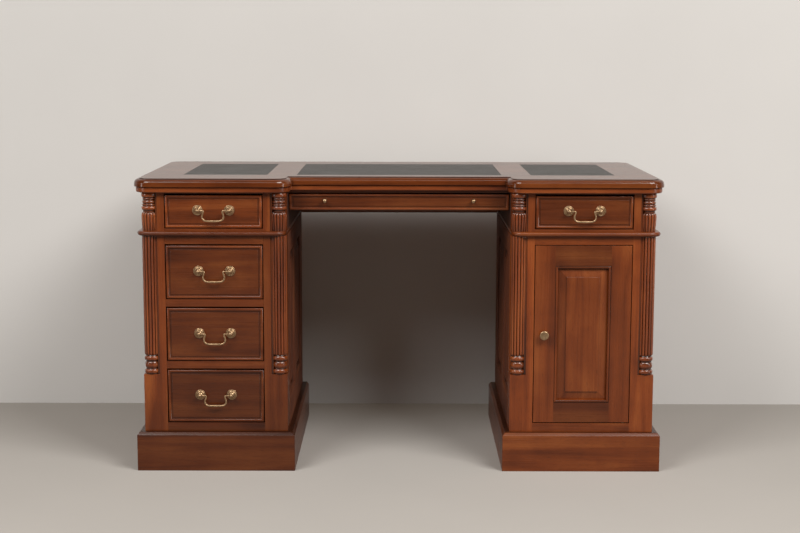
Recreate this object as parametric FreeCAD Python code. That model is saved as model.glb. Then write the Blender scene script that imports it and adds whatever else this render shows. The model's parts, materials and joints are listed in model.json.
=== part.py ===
# Twin-pedestal writing desk with a recessed centre, reeded corner columns, five bail-handled
# drawers and a plain centre drawer, and a cupboard in the right pedestal. Millimetres, +Z up,
# front towards -Y, floor at Z = 0, origin under the middle of the desk.
import FreeCAD, Part
import math
import os

V = FreeCAD.Vector
X_AXIS = V(1, 0, 0)
Y_AXIS = V(0, 1, 0)
Z_AXIS = V(0, 0, 1)
ORIGIN = V(0, 0, 0)
SAME_PLACE = 1e-4

# Top board, its moulded edge and the leather insets.
TOP_WIDTH = 1400.0
TOP_DEPTH = 650.0
TOP_THICKNESS = 22.0
TOP_OVERHANG = 19.0
TOP_INNER_OVERHANG = 12.0
TOP_CORNER_RADIUS = 46.0
TOP_RIM_WIDTH = 12.8
TOP_RIM_STEP = 2.0
TOP_OVOLO_RADIUS = 11.5
TOP_UNDER_RADIUS = 6.0
CENTRE_RECESS = 79.0
EDGE_BEAD_HEIGHT = 15.0
EDGE_BEAD_SETBACK = 6.0
EDGE_BEAD_WIDTH = 45.0
EDGE_BEAD_UPPER_RADIUS = 4.0
EDGE_BEAD_LOWER_RADIUS = 9.0
LEATHER_THICKNESS = 1.2
LEATHER_FRONT_MARGIN = 144.0
LEATHER_BACK_MARGIN = 109.0
WING_LEATHER_WIDTH = 226.5
LEATHER_BAND = 80.0
CENTRE_LEATHER_WIDTH = 554.0

# Pedestals, their posts and rails.
PEDESTAL_WIDTH = 384.0
PLINTH_HEIGHT = 105.0
PLINTH_PROJECTION = 19.0
PLINTH_THICKNESS = 38.0
PLINTH_CHAMFER_WIDTH = 6.5
PLINTH_CHAMFER_HEIGHT = 7.5
POST_WIDTH = 62.0
POST_DEPTH = 60.0
COLUMN_NOTCH = 42.5
COLUMN_NOTCH_DEPTH = 37.0
POST_BLOCK_HEIGHT = 155.5
BOTTOM_RAIL = 23.5
MID_RAIL = 20.0
TOP_RAIL = 22.5
DRAWER_OPENING = 147.5
PEDESTAL_DRAWERS = 3
BOTTOM_BOARD_THICKNESS = 18.0
WAIST_THICKNESS = 12.0
WAIST_PROJECTION = 12.0
WAIST_CORNER_RADIUS = 31.0
WAIST_NOSE_FLAT = 0.5

# Frieze between the pedestals and the top.
FRIEZE_LOWER_RAIL = 7.0
FRIEZE_OPENING = 92.5
FRIEZE_UPPER_RAIL = 3.0
FRIEZE_BOARD = 22.0
CENTRE_RAIL_HEIGHT = 7.0
CENTRE_RAIL_DEPTH = 40.0

# Framed panels of the pedestal sides, backs and the door.
FRAME_THICKNESS = 22.0
STICKING = 6.0
GROOVE_DEPTH = 7.0
TONGUE_FRONT = 9.0
TONGUE_THICKNESS = 8.0
PANEL_PLAY = 0.6
PANEL_BEVEL = 23.0
PANEL_BEVEL_RISE = 6.0
PANEL_FIELD_STEP = 1.5
SIDE_FRONT_STILE = 50.0
SIDE_BACK_STILE = 88.0
SIDE_MUNTIN = 100.0
SIDE_BOTTOM_RAIL = 84.0
SIDE_TOP_RAIL = 64.0
BACK_STILE = 68.0

# Reeded columns: radii, reeds and turned rings, measured up from the foot of each column.
COLUMN_SIDE_SETBACK = 21.0
COLUMN_FRONT_SETBACK = 15.5
REED_RADIUS = 20.0
REED_DEPTH = 2.8
REED_COUNT = 14
COLUMN_RING_RADIUS = 20.5
COLUMN_NECK_RADIUS = 18.0
LOWER_BASE_RING = 11.5
LOWER_NECK = 5.0
LOWER_RING_COUNT = 3
UPPER_REED_HEIGHT = 54.5
UPPER_REED_FOOT = 0.85
UPPER_REED_WAIST = 0.96
UPPER_DOME = 4.0
UPPER_RING = 10.0
UPPER_NECK = 8.5
UPPER_COLLAR = 8.0
UPPER_COLLAR_RADIUS = 19.5
UPPER_CAP = 11.0

# Drawers.
DRAWER_GAP = 2.0
FRONT_THICKNESS = 20.0
FRONT_BEAD_WIDTH = 7.0
FRONT_BEAD_PROUD = 1.6
FRONT_BEAD_RADIUS = 1.5
FRONT_QUIRK_WIDTH = 3.0
FRONT_QUIRK_DEPTH = 1.5
SIDE_THICKNESS = 12.0
SIDE_CLEARANCE = 1.0
RUNNER_CLEARANCE = 0.3
BOX_BACK_ROOM = 50.0
BOX_TOP_CLEARANCE = 22.0
DRAWER_BOTTOM_THICKNESS = 6.0
DRAWER_BOTTOM_RISE = 10.0
DRAWER_BOTTOM_GROOVE = 5.0
BEARER_THICKNESS = 14.0
GUIDE_HEIGHT = 26.0
CENTRE_FRONT_HEIGHT = 45.6
CENTRE_DRAWER_GAP = 1.4
CENTRE_BOX_BACK_ROOM = 61.0
CENTRE_BEARER_DROP = 2.0
CENTRE_BEARER_THICKNESS = 10.0
CENTRE_BOX_INSET = 3.0
CENTRE_BOX_TOP_CLEARANCE = 3.0
CENTRE_BOTTOM_RISE = 4.0

# Bail handles: rosettes with posts, and the hanging bail, all measured from the handle's centre.
HANDLE_RISE = 2.5
HANDLE_SPACING = 84.0
ROSETTE_RADIUS = 13.8
ROSETTE_PLATE = 1.6
ROSETTE_STEP_RADIUS = 11.2
ROSETTE_STEP = 1.8
ROSETTE_DOME_RADIUS = 7.6
ROSETTE_DOME = 2.2
POST_RADIUS = 3.4
POST_REACH = 14.0
POST_BALL_RADIUS = 5.2
STUD_RADIUS = 2.0
STUD_CLEARANCE = 0.2
NUT_RADIUS = 5.0
NUT_THICKNESS = 4.0
BAIL_WIRE_RADIUS = 2.1
BAIL_PIN_CLEARANCE = 0.06
BAIL_PIN_DEPTH = 3.0
BAIL_NECK = 25.5
BAIL_SHOULDER = 28.6
BAIL_SHOULDER_DROP = 18.0
BAIL_CORNER = 21.0
BAIL_DROP = 27.0
BAIL_NECK_BEND = 4.2
BAIL_SHOULDER_BEND = 12.0
BAIL_CORNER_BEND = 6.0
BAIL_GRIP_RADIUS = 2.9
BAIL_GRIP_LENGTH = 28.0

# Turned knobs.
SMALL_KNOB_INSET = 95.5
SMALL_KNOB_RISE = 3.0
SMALL_KNOB_SEAT = 1.3
SMALL_KNOB_RADIUS = 6.5
SMALL_KNOB_STEM_RADIUS = 3.4
SMALL_KNOB_STEM = 5.0
DOOR_KNOB_INSET = 25.5
DOOR_KNOB_RADIUS = 12.5
DOOR_KNOB_ROSE_RADIUS = 9.0
DOOR_KNOB_ROSE = 2.0
DOOR_KNOB_NECK_RADIUS = 5.5
DOOR_KNOB_NECK = 6.0
DOOR_KNOB_HEAD = 10.0

# Cupboard door, its hidden pivots, the catch and the shelf.
DOOR_GAP = 2.0
DOOR_STILE = 61.0
DOOR_RAIL = 61.0
PIVOT_FROM_EDGE = 14.0
PIVOT_BEHIND_FACE = 6.0
PIVOT_RADIUS = 3.0
PIVOT_CLEARANCE = 0.05
PIVOT_SOCKET_PLAY = 0.02
PIVOT_DEPTH_IN_DOOR = 12.0
PIVOT_COLLAR_RADIUS = 5.0
BUSH_RADIUS = 6.0
BUSH_LENGTH = 10.0
BUSH_END_PLAY = 2.0
CATCH_WIDTH = 30.0
CATCH_DEPTH = 22.0
CATCH_HEIGHT = 10.0
CATCH_INSET = 18.0
CATCH_GAP = 0.3
SHELF_THICKNESS = 18.0
SHELF_HEIGHT = 231.0
SHELF_PLAY = 1.0
SHELF_DOOR_ROOM = 44.0
SHELF_PIN_RADIUS = 3.0
SHELF_PIN_REACH = 10.0
SHELF_PIN_DEPTH = 8.0
SHELF_PIN_FROM_END = 30.0

# Places worked out from the sizes above. X values are for the right pedestal.
carcase_half = TOP_WIDTH / 2 - TOP_OVERHANG
carcase_front = -TOP_DEPTH / 2 + TOP_OVERHANG
carcase_back = TOP_DEPTH / 2 - TOP_OVERHANG
pedestal_inner = carcase_half - PEDESTAL_WIDTH
pedestal_centre = carcase_half - PEDESTAL_WIDTH / 2
opening_half = PEDESTAL_WIDTH / 2 - POST_WIDTH
opening_left = pedestal_centre - opening_half
opening_right = pedestal_centre + opening_half
post_back = carcase_front + POST_DEPTH
frame_back = carcase_back - FRAME_THICKNESS
opening_bottom = PLINTH_HEIGHT + BOTTOM_RAIL
drawer_pitch = DRAWER_OPENING + MID_RAIL
opening_top = opening_bottom + PEDESTAL_DRAWERS * drawer_pitch - MID_RAIL
pedestal_top = opening_top + TOP_RAIL
frieze_bottom = pedestal_top + WAIST_THICKNESS
frieze_opening_bottom = frieze_bottom + FRIEZE_LOWER_RAIL
frieze_opening_top = frieze_opening_bottom + FRIEZE_OPENING
frieze_top = frieze_opening_top + FRIEZE_UPPER_RAIL
board_bottom = frieze_top + EDGE_BEAD_HEIGHT
desk_height = board_bottom + TOP_THICKNESS
recess_face = carcase_front + CENTRE_RECESS
centre_front_top = frieze_top - CENTRE_RAIL_HEIGHT - CENTRE_DRAWER_GAP
centre_front_bottom = centre_front_top - CENTRE_FRONT_HEIGHT
column_x = carcase_half - COLUMN_SIDE_SETBACK
column_y = carcase_front + COLUMN_FRONT_SETBACK
column_foot = PLINTH_HEIGHT + POST_BLOCK_HEIGHT

os.makedirs("parts", exist_ok=True)


def box(x0, x1, y0, y1, z0, z1):
    return Part.makeBox(x1 - x0, y1 - y0, z1 - z0, V(x0, y0, z0))


def cylinder(radius, length, start, direction):
    return Part.makeCylinder(radius, length, start, direction)


def mirrored(solids):
    return [solid.mirror(ORIGIN, X_AXIS) for solid in solids]


def about_pedestal(solid):
    # The same piece on the other side of the right pedestal.
    return solid.mirror(V(pedestal_centre, 0, 0), X_AXIS)


def save(node, solids):
    Part.makeCompound(solids).exportStep("parts/" + node + ".step")


def rounded_wire(points, radii, closed):
    # A wire through the points, with an arc of the given radius at each corner.
    edges = []
    joints = []
    for index, corner in enumerate(points):
        if radii[index] == 0:
            joints.append((corner, None, corner))
            continue
        back = (points[index - 1] - corner).normalize()
        ahead = (points[(index + 1) % len(points)] - corner).normalize()
        half_angle = back.getAngle(ahead) / 2
        setback = radii[index] / math.tan(half_angle)
        middle = (back + ahead).normalize()
        reach = radii[index] / math.sin(half_angle) - radii[index]
        joints.append((corner + back * setback, corner + middle * reach, corner + ahead * setback))
    for index, (start, through, end) in enumerate(joints):
        if through is not None:
            edges.append(Part.Arc(start, through, end).toShape())
        if closed or index + 1 < len(joints):
            following = joints[(index + 1) % len(joints)][0]
            edges.append(Part.LineSegment(end, following).toShape())
    return Part.Wire(edges)


def prism(wire, height):
    return Part.Face(wire).extrude(Z_AXIS * height)


def edges_at(solid, height):
    # Edges that lie in the level plane at the given height.
    return [e for e in solid.Edges if abs(e.BoundBox.ZMin - height) < SAME_PLACE
            and abs(e.BoundBox.ZMax - height) < SAME_PLACE]


def rectangle(x0, x1, z0, z1, y):
    corners = [V(x0, y, z0), V(x1, y, z0), V(x1, y, z1), V(x0, y, z1)]
    return Part.makePolygon(corners + corners[:1])


def frustum(first, second):
    return Part.makeLoft([first, second], True, True)


def turned(features):
    # A turned piece about Z from the origin up: each feature is (kind, height, radius).
    edges = []
    level = 0.0
    at = V(0, 0, 0)
    for kind, height, radius in features:
        inner = radius - height / 2 if kind == "bead" else radius
        start = V(inner, 0, level)
        end = V(inner, 0, level + height)
        if (start - at).Length > SAME_PLACE:
            edges.append(Part.LineSegment(at, start).toShape())
        if kind == "bead":
            edges.append(Part.Arc(start, V(radius, 0, level + height / 2), end).toShape())
        else:
            edges.append(Part.LineSegment(start, end).toShape())
        level = level + height
        at = end
    edges.append(Part.LineSegment(at, V(0, 0, level)).toShape())
    edges.append(Part.LineSegment(V(0, 0, level), V(0, 0, 0)).toShape())
    return Part.Face(Part.Wire(edges)).revolve(ORIGIN, Z_AXIS, 360)


def facing_front(solid, place):
    # Turns a piece made along +Z so that it points out of the front, and sets it in place.
    turned_solid = solid.copy()
    turned_solid.rotate(ORIGIN, X_AXIS, 90)
    turned_solid.translate(place)
    return turned_solid


def framed_panel(width, height, first_stile, last_stile, bottom_rail, top_rail, count, muntin):
    # Frame members and fielded panels, face at y = 0, from the origin along +X and +Z.
    back = FRAME_THICKNESS
    inner_right = width - last_stile
    panel_top = height - top_rail
    panel_width = (inner_right - first_stile - muntin * (count - 1)) / count
    members = [box(0, first_stile, 0, back, 0, height),
               box(inner_right, width, 0, back, 0, height),
               box(first_stile, inner_right, 0, back, 0, bottom_rail),
               box(first_stile, inner_right, 0, back, panel_top, height)]
    cutters = []
    panels = []
    for index in range(count):
        left = first_stile + index * (panel_width + muntin)
        right = left + panel_width
        if index > 0:
            members.append(box(left - muntin, left, 0, back, bottom_rail, panel_top))
        tongue_back = TONGUE_FRONT + TONGUE_THICKNESS
        cutters.append(box(left - GROOVE_DEPTH, right + GROOVE_DEPTH, TONGUE_FRONT, tongue_back,
                           bottom_rail - GROOVE_DEPTH, panel_top + GROOVE_DEPTH))
        cutters.append(frustum(
            rectangle(left - STICKING, right + STICKING, bottom_rail - STICKING, panel_top + STICKING, 0),
            rectangle(left, right, bottom_rail, panel_top, STICKING)))
        reach = GROOVE_DEPTH - PANEL_PLAY
        tongue = box(left - reach, right + reach, TONGUE_FRONT, tongue_back,
                     bottom_rail - reach, panel_top + reach)
        field_left = left + PANEL_BEVEL
        field_right = right - PANEL_BEVEL
        field_bottom = bottom_rail + PANEL_BEVEL
        field_top = panel_top - PANEL_BEVEL
        bevel_face = TONGUE_FRONT - PANEL_BEVEL_RISE
        bevel = frustum(
            rectangle(left + PANEL_PLAY, right - PANEL_PLAY, bottom_rail + PANEL_PLAY,
                      panel_top - PANEL_PLAY, TONGUE_FRONT),
            rectangle(field_left, field_right, field_bottom, field_top, bevel_face))
        field = box(field_left, field_right, bevel_face - PANEL_FIELD_STEP, bevel_face,
                    field_bottom, field_top)
        panels.append(tongue.fuse([bevel, field]).removeSplitter())
    return [member.cut(cutters) for member in members], panels


def placed(solids, turn, offset):
    moved = []
    for solid in solids:
        copy = solid.copy()
        copy.rotate(ORIGIN, Z_AXIS, turn)
        copy.translate(offset)
        moved.append(copy)
    return moved


# Top board, its edge moulding and the leathers.
def top_outline(inset, height):
    half = TOP_WIDTH / 2 - inset
    front = -TOP_DEPTH / 2 + inset
    back = TOP_DEPTH / 2 - inset
    wing = pedestal_inner - TOP_INNER_OVERHANG + inset
    centre = -TOP_DEPTH / 2 + CENTRE_RECESS + inset
    corner = TOP_CORNER_RADIUS - inset
    points = [V(-half, front, height), V(-wing, front, height), V(-wing, centre, height),
              V(wing, centre, height), V(wing, front, height), V(half, front, height),
              V(half, back, height), V(-half, back, height)]
    return rounded_wire(points, [corner, corner, 0, 0, corner, corner, corner, corner], True)


leather_front = -TOP_DEPTH / 2 + LEATHER_FRONT_MARGIN
leather_back = TOP_DEPTH / 2 - LEATHER_BACK_MARGIN
wing_leather_left = CENTRE_LEATHER_WIDTH / 2 + LEATHER_BAND
wing_leather_right = wing_leather_left + WING_LEATHER_WIDTH


def leather(left, right):
    return box(left, right, leather_front, leather_back, desk_height - LEATHER_THICKNESS, desk_height)


leather_right = leather(wing_leather_left, wing_leather_right)
leather_left = leather(-wing_leather_right, -wing_leather_left)
leather_centre = leather(-CENTRE_LEATHER_WIDTH / 2, CENTRE_LEATHER_WIDTH / 2)

rim_height = desk_height - TOP_RIM_STEP
slab = prism(top_outline(0, board_bottom), rim_height - board_bottom)
slab = slab.makeFillet(TOP_UNDER_RADIUS, edges_at(slab, board_bottom))
slab = slab.makeFillet(TOP_OVOLO_RADIUS, edges_at(slab, rim_height))
flat = prism(top_outline(TOP_RIM_WIDTH, rim_height), TOP_RIM_STEP)
desk_top = slab.fuse(flat).removeSplitter().cut([leather_left, leather_centre, leather_right])
save("desk_top", [desk_top])
save("leather_left", [leather_left])
save("leather_centre", [leather_centre])
save("leather_right", [leather_right])


def edge_bead():
    # A half-round moulding under the edge of the top, in strips that butt together.
    outer = prism(top_outline(EDGE_BEAD_SETBACK, frieze_top), EDGE_BEAD_HEIGHT)
    outer = outer.makeFillet(EDGE_BEAD_LOWER_RADIUS, edges_at(outer, frieze_top))
    outer = outer.makeFillet(EDGE_BEAD_UPPER_RADIUS, edges_at(outer, board_bottom))
    half = TOP_WIDTH / 2
    front = -TOP_DEPTH / 2
    inset = EDGE_BEAD_SETBACK + EDGE_BEAD_WIDTH
    front_line = front + inset
    back_line = TOP_DEPTH / 2 - inset
    wing_edge = pedestal_inner - TOP_INNER_OVERHANG
    wing_line = wing_edge + inset
    centre_line = front + CENTRE_RECESS + inset
    areas = [(-half, half, back_line, -front),
             (half - inset, half, front_line, back_line),
             (wing_edge, half, front, front_line),
             (wing_edge, wing_line, front_line, centre_line),
             (-wing_edge, wing_edge, front, centre_line),
             (-wing_line, -wing_edge, front_line, centre_line),
             (-half, -wing_edge, front, front_line),
             (-half, inset - half, front_line, back_line)]
    return [outer.common(box(x0, x1, y0, y1, frieze_top, board_bottom)) for x0, x1, y0, y1 in areas]


strips = edge_bead()
save("top_edge_bead", [solid for strip in strips for solid in strip.Solids])


# Corner posts with a notch for the column, and the frames that stand on the front.
def corner_post(bottom, top, notch_from):
    post = box(opening_right, carcase_half, carcase_front, post_back, bottom, top)
    notch = box(carcase_half - COLUMN_NOTCH, carcase_half, carcase_front,
                carcase_front + COLUMN_NOTCH_DEPTH, notch_from, top)
    return post.cut(notch)


def front_rail(bottom, top):
    return box(opening_left, opening_right, carcase_front, post_back, bottom, top)


def posts(bottom, top, notch_from):
    outer = corner_post(bottom, top, notch_from)
    return [outer, about_pedestal(outer)]


pivot_x = opening_right - DOOR_GAP - PIVOT_FROM_EDGE
pivot_y = carcase_front + PIVOT_BEHIND_FACE
pivot_foot = V(pivot_x, pivot_y, opening_bottom)
pivot_head = V(pivot_x, pivot_y, opening_top)
bottom_bush_socket = cylinder(BUSH_RADIUS, BUSH_LENGTH, pivot_foot, -Z_AXIS)
top_bush_socket = cylinder(BUSH_RADIUS, BUSH_LENGTH, pivot_head, Z_AXIS)
pedestal_posts = posts(PLINTH_HEIGHT, pedestal_top, column_foot)
bottom_rail = front_rail(PLINTH_HEIGHT, opening_bottom)
top_rail = front_rail(opening_top, pedestal_top)
mid_rails = []
for index in range(1, PEDESTAL_DRAWERS):
    rail_bottom = opening_bottom + index * drawer_pitch - MID_RAIL
    mid_rails.append(front_rail(rail_bottom, rail_bottom + MID_RAIL))
save("left_front_frame", mirrored(pedestal_posts + [bottom_rail, top_rail] + mid_rails))
save("right_front_frame",
     pedestal_posts + [bottom_rail.cut(bottom_bush_socket), top_rail.cut(top_bush_socket)])

# Panelled sides and backs of the pedestals.
side_height = pedestal_top - PLINTH_HEIGHT
side_length = frame_back - post_back
outer_frame, outer_panels = framed_panel(side_length, side_height, SIDE_FRONT_STILE, SIDE_BACK_STILE,
                                         SIDE_BOTTOM_RAIL, SIDE_TOP_RAIL, 2, SIDE_MUNTIN)
side_place = V(carcase_half, post_back, PLINTH_HEIGHT)
outer_frame = placed(outer_frame, 90, side_place)
outer_panels = placed(outer_panels, 90, side_place)
side_frames = outer_frame + [about_pedestal(solid) for solid in outer_frame]
side_panels = outer_panels + [about_pedestal(solid) for solid in outer_panels]
back_frame, back_panel = framed_panel(PEDESTAL_WIDTH, side_height, BACK_STILE, BACK_STILE,
                                      SIDE_BOTTOM_RAIL, SIDE_TOP_RAIL, 1, 0)
back_place = V(carcase_half, carcase_back, PLINTH_HEIGHT)
back_frame = placed(back_frame, 180, back_place)
back_panel = placed(back_panel, 180, back_place)

# Shelf pins and the shelf of the cupboard.
side_inner_left = pedestal_inner + FRAME_THICKNESS
side_inner_right = carcase_half - FRAME_THICKNESS
shelf_bottom = opening_bottom + SHELF_HEIGHT
pin_level = shelf_bottom - SHELF_PIN_RADIUS
pin_places = [post_back + SHELF_PIN_FROM_END, frame_back - SHELF_PIN_FROM_END]
pin_length = SHELF_PIN_DEPTH + SHELF_PIN_REACH
shelf_pins = []
for pin_y in pin_places:
    pin_start = V(side_inner_right - SHELF_PIN_REACH, pin_y, pin_level)
    pin = cylinder(SHELF_PIN_RADIUS, pin_length, pin_start, X_AXIS)
    shelf_pins.append(pin)
    shelf_pins.append(about_pedestal(pin))
shelf = box(side_inner_left + SHELF_PLAY, side_inner_right - SHELF_PLAY,
            carcase_front + SHELF_DOOR_ROOM, frame_back - SHELF_PLAY,
            shelf_bottom, shelf_bottom + SHELF_THICKNESS)
shelf = shelf.cut(pedestal_posts)
save("cupboard_shelf", [shelf])
save("shelf_pins", shelf_pins)

save("left_side_frames", mirrored(side_frames))
save("right_side_frames", [member.cut(shelf_pins) for member in side_frames])
save("left_side_panels", mirrored(side_panels))
save("right_side_panels", side_panels)
save("left_back_frame", mirrored(back_frame))
save("right_back_frame", back_frame)
save("back_panels", mirrored(back_panel) + back_panel)

bottom_board = box(side_inner_left, side_inner_right, post_back, frame_back,
                   opening_bottom - BOTTOM_BOARD_THICKNESS, opening_bottom)
save("pedestal_bottom_boards", mirrored([bottom_board]) + [bottom_board])


def plinth():
    # Four mitred boards; the front and sides stand proud with a chamfer along the top.
    left = pedestal_inner - PLINTH_PROJECTION
    right = carcase_half + PLINTH_PROJECTION
    front = carcase_front - PLINTH_PROJECTION
    back = carcase_back
    chamfer_foot = PLINTH_HEIGHT - PLINTH_CHAMFER_HEIGHT

    def level(inset, height):
        corners = [V(left + inset, front + inset, height), V(right - inset, front + inset, height),
                   V(right - inset, back, height), V(left + inset, back, height)]
        return Part.makePolygon(corners + corners[:1])

    block = prism(level(0, 0), chamfer_foot)
    block = block.fuse(frustum(level(0, chamfer_foot), level(PLINTH_CHAMFER_WIDTH, PLINTH_HEIGHT)))
    block = block.removeSplitter()
    thick = PLINTH_THICKNESS
    inner_left = left + thick
    inner_right = right - thick
    inner_front = front + thick
    inner_back = back - FRAME_THICKNESS
    plans = [[V(left, front), V(right, front), V(inner_right, inner_front), V(inner_left, inner_front)],
             [V(left, front), V(inner_left, inner_front), V(inner_left, back), V(left, back)],
             [V(right, front), V(right, back), V(inner_right, back), V(inner_right, inner_front)],
             [V(inner_left, inner_back), V(inner_right, inner_back),
              V(inner_right, back), V(inner_left, back)]]
    boards = []
    for plan in plans:
        boards.append(block.common(prism(Part.makePolygon(plan + plan[:1]), PLINTH_HEIGHT)))
    return boards


plinth_boards = plinth()
save("left_plinth", mirrored(plinth_boards))
save("right_plinth", plinth_boards)


def waist_board():
    # The board on top of a pedestal, with a half-round nosing at the front and sides.
    right = carcase_half + WAIST_PROJECTION
    front = carcase_front - WAIST_PROJECTION
    corners = [V(pedestal_inner, front, pedestal_top), V(right, front, pedestal_top),
               V(right, carcase_back, pedestal_top), V(pedestal_inner, carcase_back, pedestal_top)]
    radii = [WAIST_CORNER_RADIUS, WAIST_CORNER_RADIUS, 0, 0]
    board = prism(rounded_wire(corners, radii, True), WAIST_THICKNESS)
    nosed = [e for e in edges_at(board, pedestal_top) + edges_at(board, frieze_bottom)
             if e.BoundBox.YMin < carcase_back - SAME_PLACE]
    return board.makeFillet((WAIST_THICKNESS - WAIST_NOSE_FLAT) / 2, nosed)


waist = waist_board()
save("left_waist_board", mirrored([waist]))
save("right_waist_board", [waist])

# Frieze: posts, ends and thin rails over each pedestal, the back rail and the centre rail.
frieze_end = box(carcase_half - FRIEZE_BOARD, carcase_half, post_back, frame_back,
                 frieze_bottom, frieze_top)
frieze_frame = posts(frieze_bottom, frieze_top, frieze_bottom)
frieze_frame = frieze_frame + [frieze_end, about_pedestal(frieze_end),
                               front_rail(frieze_bottom, frieze_opening_bottom),
                               front_rail(frieze_opening_top, frieze_top)]
save("left_frieze_frame", mirrored(frieze_frame))
save("right_frieze_frame", frieze_frame)
back_rail = box(-carcase_half, carcase_half, frame_back, carcase_back, frieze_bottom, frieze_top)
apron = box(-pedestal_inner, pedestal_inner, frame_back, carcase_back, pedestal_top, frieze_bottom)
save("frieze_back_rail", [back_rail.fuse(apron).removeSplitter()])
centre_rail = box(-pedestal_inner, pedestal_inner, recess_face, recess_face + CENTRE_RAIL_DEPTH,
                  frieze_top - CENTRE_RAIL_HEIGHT, frieze_top)
save("centre_front_rail", [centre_rail])


# Reeded columns in the notches of the posts.
def reeded_wire(scale, height):
    crest = REED_RADIUS * scale
    valley = (REED_RADIUS - REED_DEPTH) * scale
    step = 2 * math.pi / REED_COUNT

    def spoke(radius, angle):
        return V(radius * math.cos(angle), radius * math.sin(angle), height)

    arcs = []
    for reed in range(REED_COUNT):
        angle = reed * step
        arcs.append(Part.Arc(spoke(valley, angle), spoke(crest, angle + step / 2),
                             spoke(valley, angle + step)).toShape())
    return Part.Wire(arcs)


def lower_column():
    base = []
    for ring in range(LOWER_RING_COUNT):
        base.append(("bead", LOWER_BASE_RING, COLUMN_RING_RADIUS))
        base.append(("neck", LOWER_NECK, COLUMN_NECK_RADIUS))
    base_height = LOWER_RING_COUNT * (LOWER_BASE_RING + LOWER_NECK)
    shaft = prism(reeded_wire(1, base_height), pedestal_top - column_foot - base_height)
    return turned(base).fuse(shaft).removeSplitter()


def upper_column():
    bulb_top = UPPER_REED_HEIGHT - UPPER_DOME
    bulb = Part.makeLoft([reeded_wire(UPPER_REED_FOOT, 0), reeded_wire(UPPER_REED_WAIST, bulb_top / 2),
                          reeded_wire(1, bulb_top)], True, True)
    turned_height = UPPER_RING + 2 * UPPER_NECK + UPPER_COLLAR + UPPER_CAP
    room = frieze_top - frieze_bottom - UPPER_REED_HEIGHT - turned_height
    head = turned([("neck", UPPER_DOME, COLUMN_NECK_RADIUS),
                   ("bead", UPPER_RING, COLUMN_RING_RADIUS),
                   ("neck", UPPER_NECK, COLUMN_NECK_RADIUS),
                   ("bead", UPPER_COLLAR, UPPER_COLLAR_RADIUS),
                   ("neck", UPPER_NECK, COLUMN_NECK_RADIUS),
                   ("bead", UPPER_CAP, COLUMN_RING_RADIUS),
                   ("neck", room, COLUMN_NECK_RADIUS)])
    head.translate(V(0, 0, bulb_top))
    return bulb.fuse(head).removeSplitter()


def column_pair(column, foot):
    outer = column.copy()
    outer.translate(V(column_x, column_y, foot))
    return [outer, about_pedestal(outer)]


lower_columns = column_pair(lower_column(), column_foot)
upper_columns = column_pair(upper_column(), frieze_bottom)
save("left_lower_columns", mirrored(lower_columns))
save("right_lower_columns", lower_columns)
save("left_upper_columns", mirrored(upper_columns))
save("right_upper_columns", upper_columns)


# Drawers: a beaded front, and a box of two sides, a back and a bottom in grooves.
def drawer_front(left, right, bottom, top, face):
    proud = face - FRONT_BEAD_PROUD
    board = box(left, right, proud, face + FRONT_THICKNESS, bottom, top)
    bead = FRONT_BEAD_WIDTH
    sunk = box(left + bead, right - bead, proud, face, bottom + bead, top - bead)
    quirk = box(left + bead, right - bead, face, face + FRONT_QUIRK_DEPTH, bottom + bead, top - bead)
    inner = bead + FRONT_QUIRK_WIDTH
    field = box(left + inner, right - inner, face, face + FRONT_QUIRK_DEPTH, bottom + inner, top - inner)
    board = board.cut(sunk).cut(quirk.cut(field))
    bead_edges = [e for e in board.Edges if abs(e.BoundBox.YMax - proud) < SAME_PLACE]
    return board.makeFillet(FRONT_BEAD_RADIUS, bead_edges)


def drawer_box(left, right, bottom, top, front, back, rise):
    inner_left = left + SIDE_THICKNESS
    inner_right = right - SIDE_THICKNESS
    panel_bottom = bottom + rise
    panel_top = panel_bottom + DRAWER_BOTTOM_THICKNESS
    panel = box(inner_left - DRAWER_BOTTOM_GROOVE, inner_right + DRAWER_BOTTOM_GROOVE, front, back,
                panel_bottom, panel_top)
    sides = [box(left, inner_left, front, back, bottom, top),
             box(inner_right, right, front, back, bottom, top)]
    tail = box(inner_left, inner_right, back - SIDE_THICKNESS, back, panel_top, top)
    return [side.cut(panel) for side in sides] + [tail, panel]


def handle_posts(centre_x, level, face):
    # Rosette, post and stud in one casting at each end, with a nut inside the drawer.
    stud_length = FRONT_THICKNESS + NUT_THICKNESS
    casting = turned([("neck", ROSETTE_PLATE, ROSETTE_RADIUS),
                      ("neck", ROSETTE_STEP, ROSETTE_STEP_RADIUS),
                      ("neck", ROSETTE_DOME, ROSETTE_DOME_RADIUS),
                      ("neck", POST_REACH - ROSETTE_PLATE - ROSETTE_STEP - ROSETTE_DOME, POST_RADIUS)])
    casting = casting.fuse(Part.makeSphere(POST_BALL_RADIUS, V(0, 0, POST_REACH)))
    casting = casting.fuse(cylinder(STUD_RADIUS, stud_length, V(0, 0, -stud_length), Z_AXIS))
    nut = cylinder(NUT_RADIUS, NUT_THICKNESS, V(0, 0, -stud_length), Z_AXIS)
    nut = nut.cut(cylinder(STUD_RADIUS, NUT_THICKNESS, V(0, 0, -stud_length), Z_AXIS))
    pieces = []
    for side in (-1, 1):
        place = V(centre_x + side * HANDLE_SPACING / 2, face, level)
        bore_start = V(place.x + side * BAIL_PIN_DEPTH, face - POST_REACH, level)
        bore = cylinder(BAIL_WIRE_RADIUS + BAIL_PIN_CLEARANCE, POST_BALL_RADIUS + BAIL_PIN_DEPTH,
                        bore_start, X_AXIS * -side)
        pieces.append(facing_front(casting, place).cut(bore))
        pieces.append(facing_front(nut, place))
    return pieces


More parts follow.
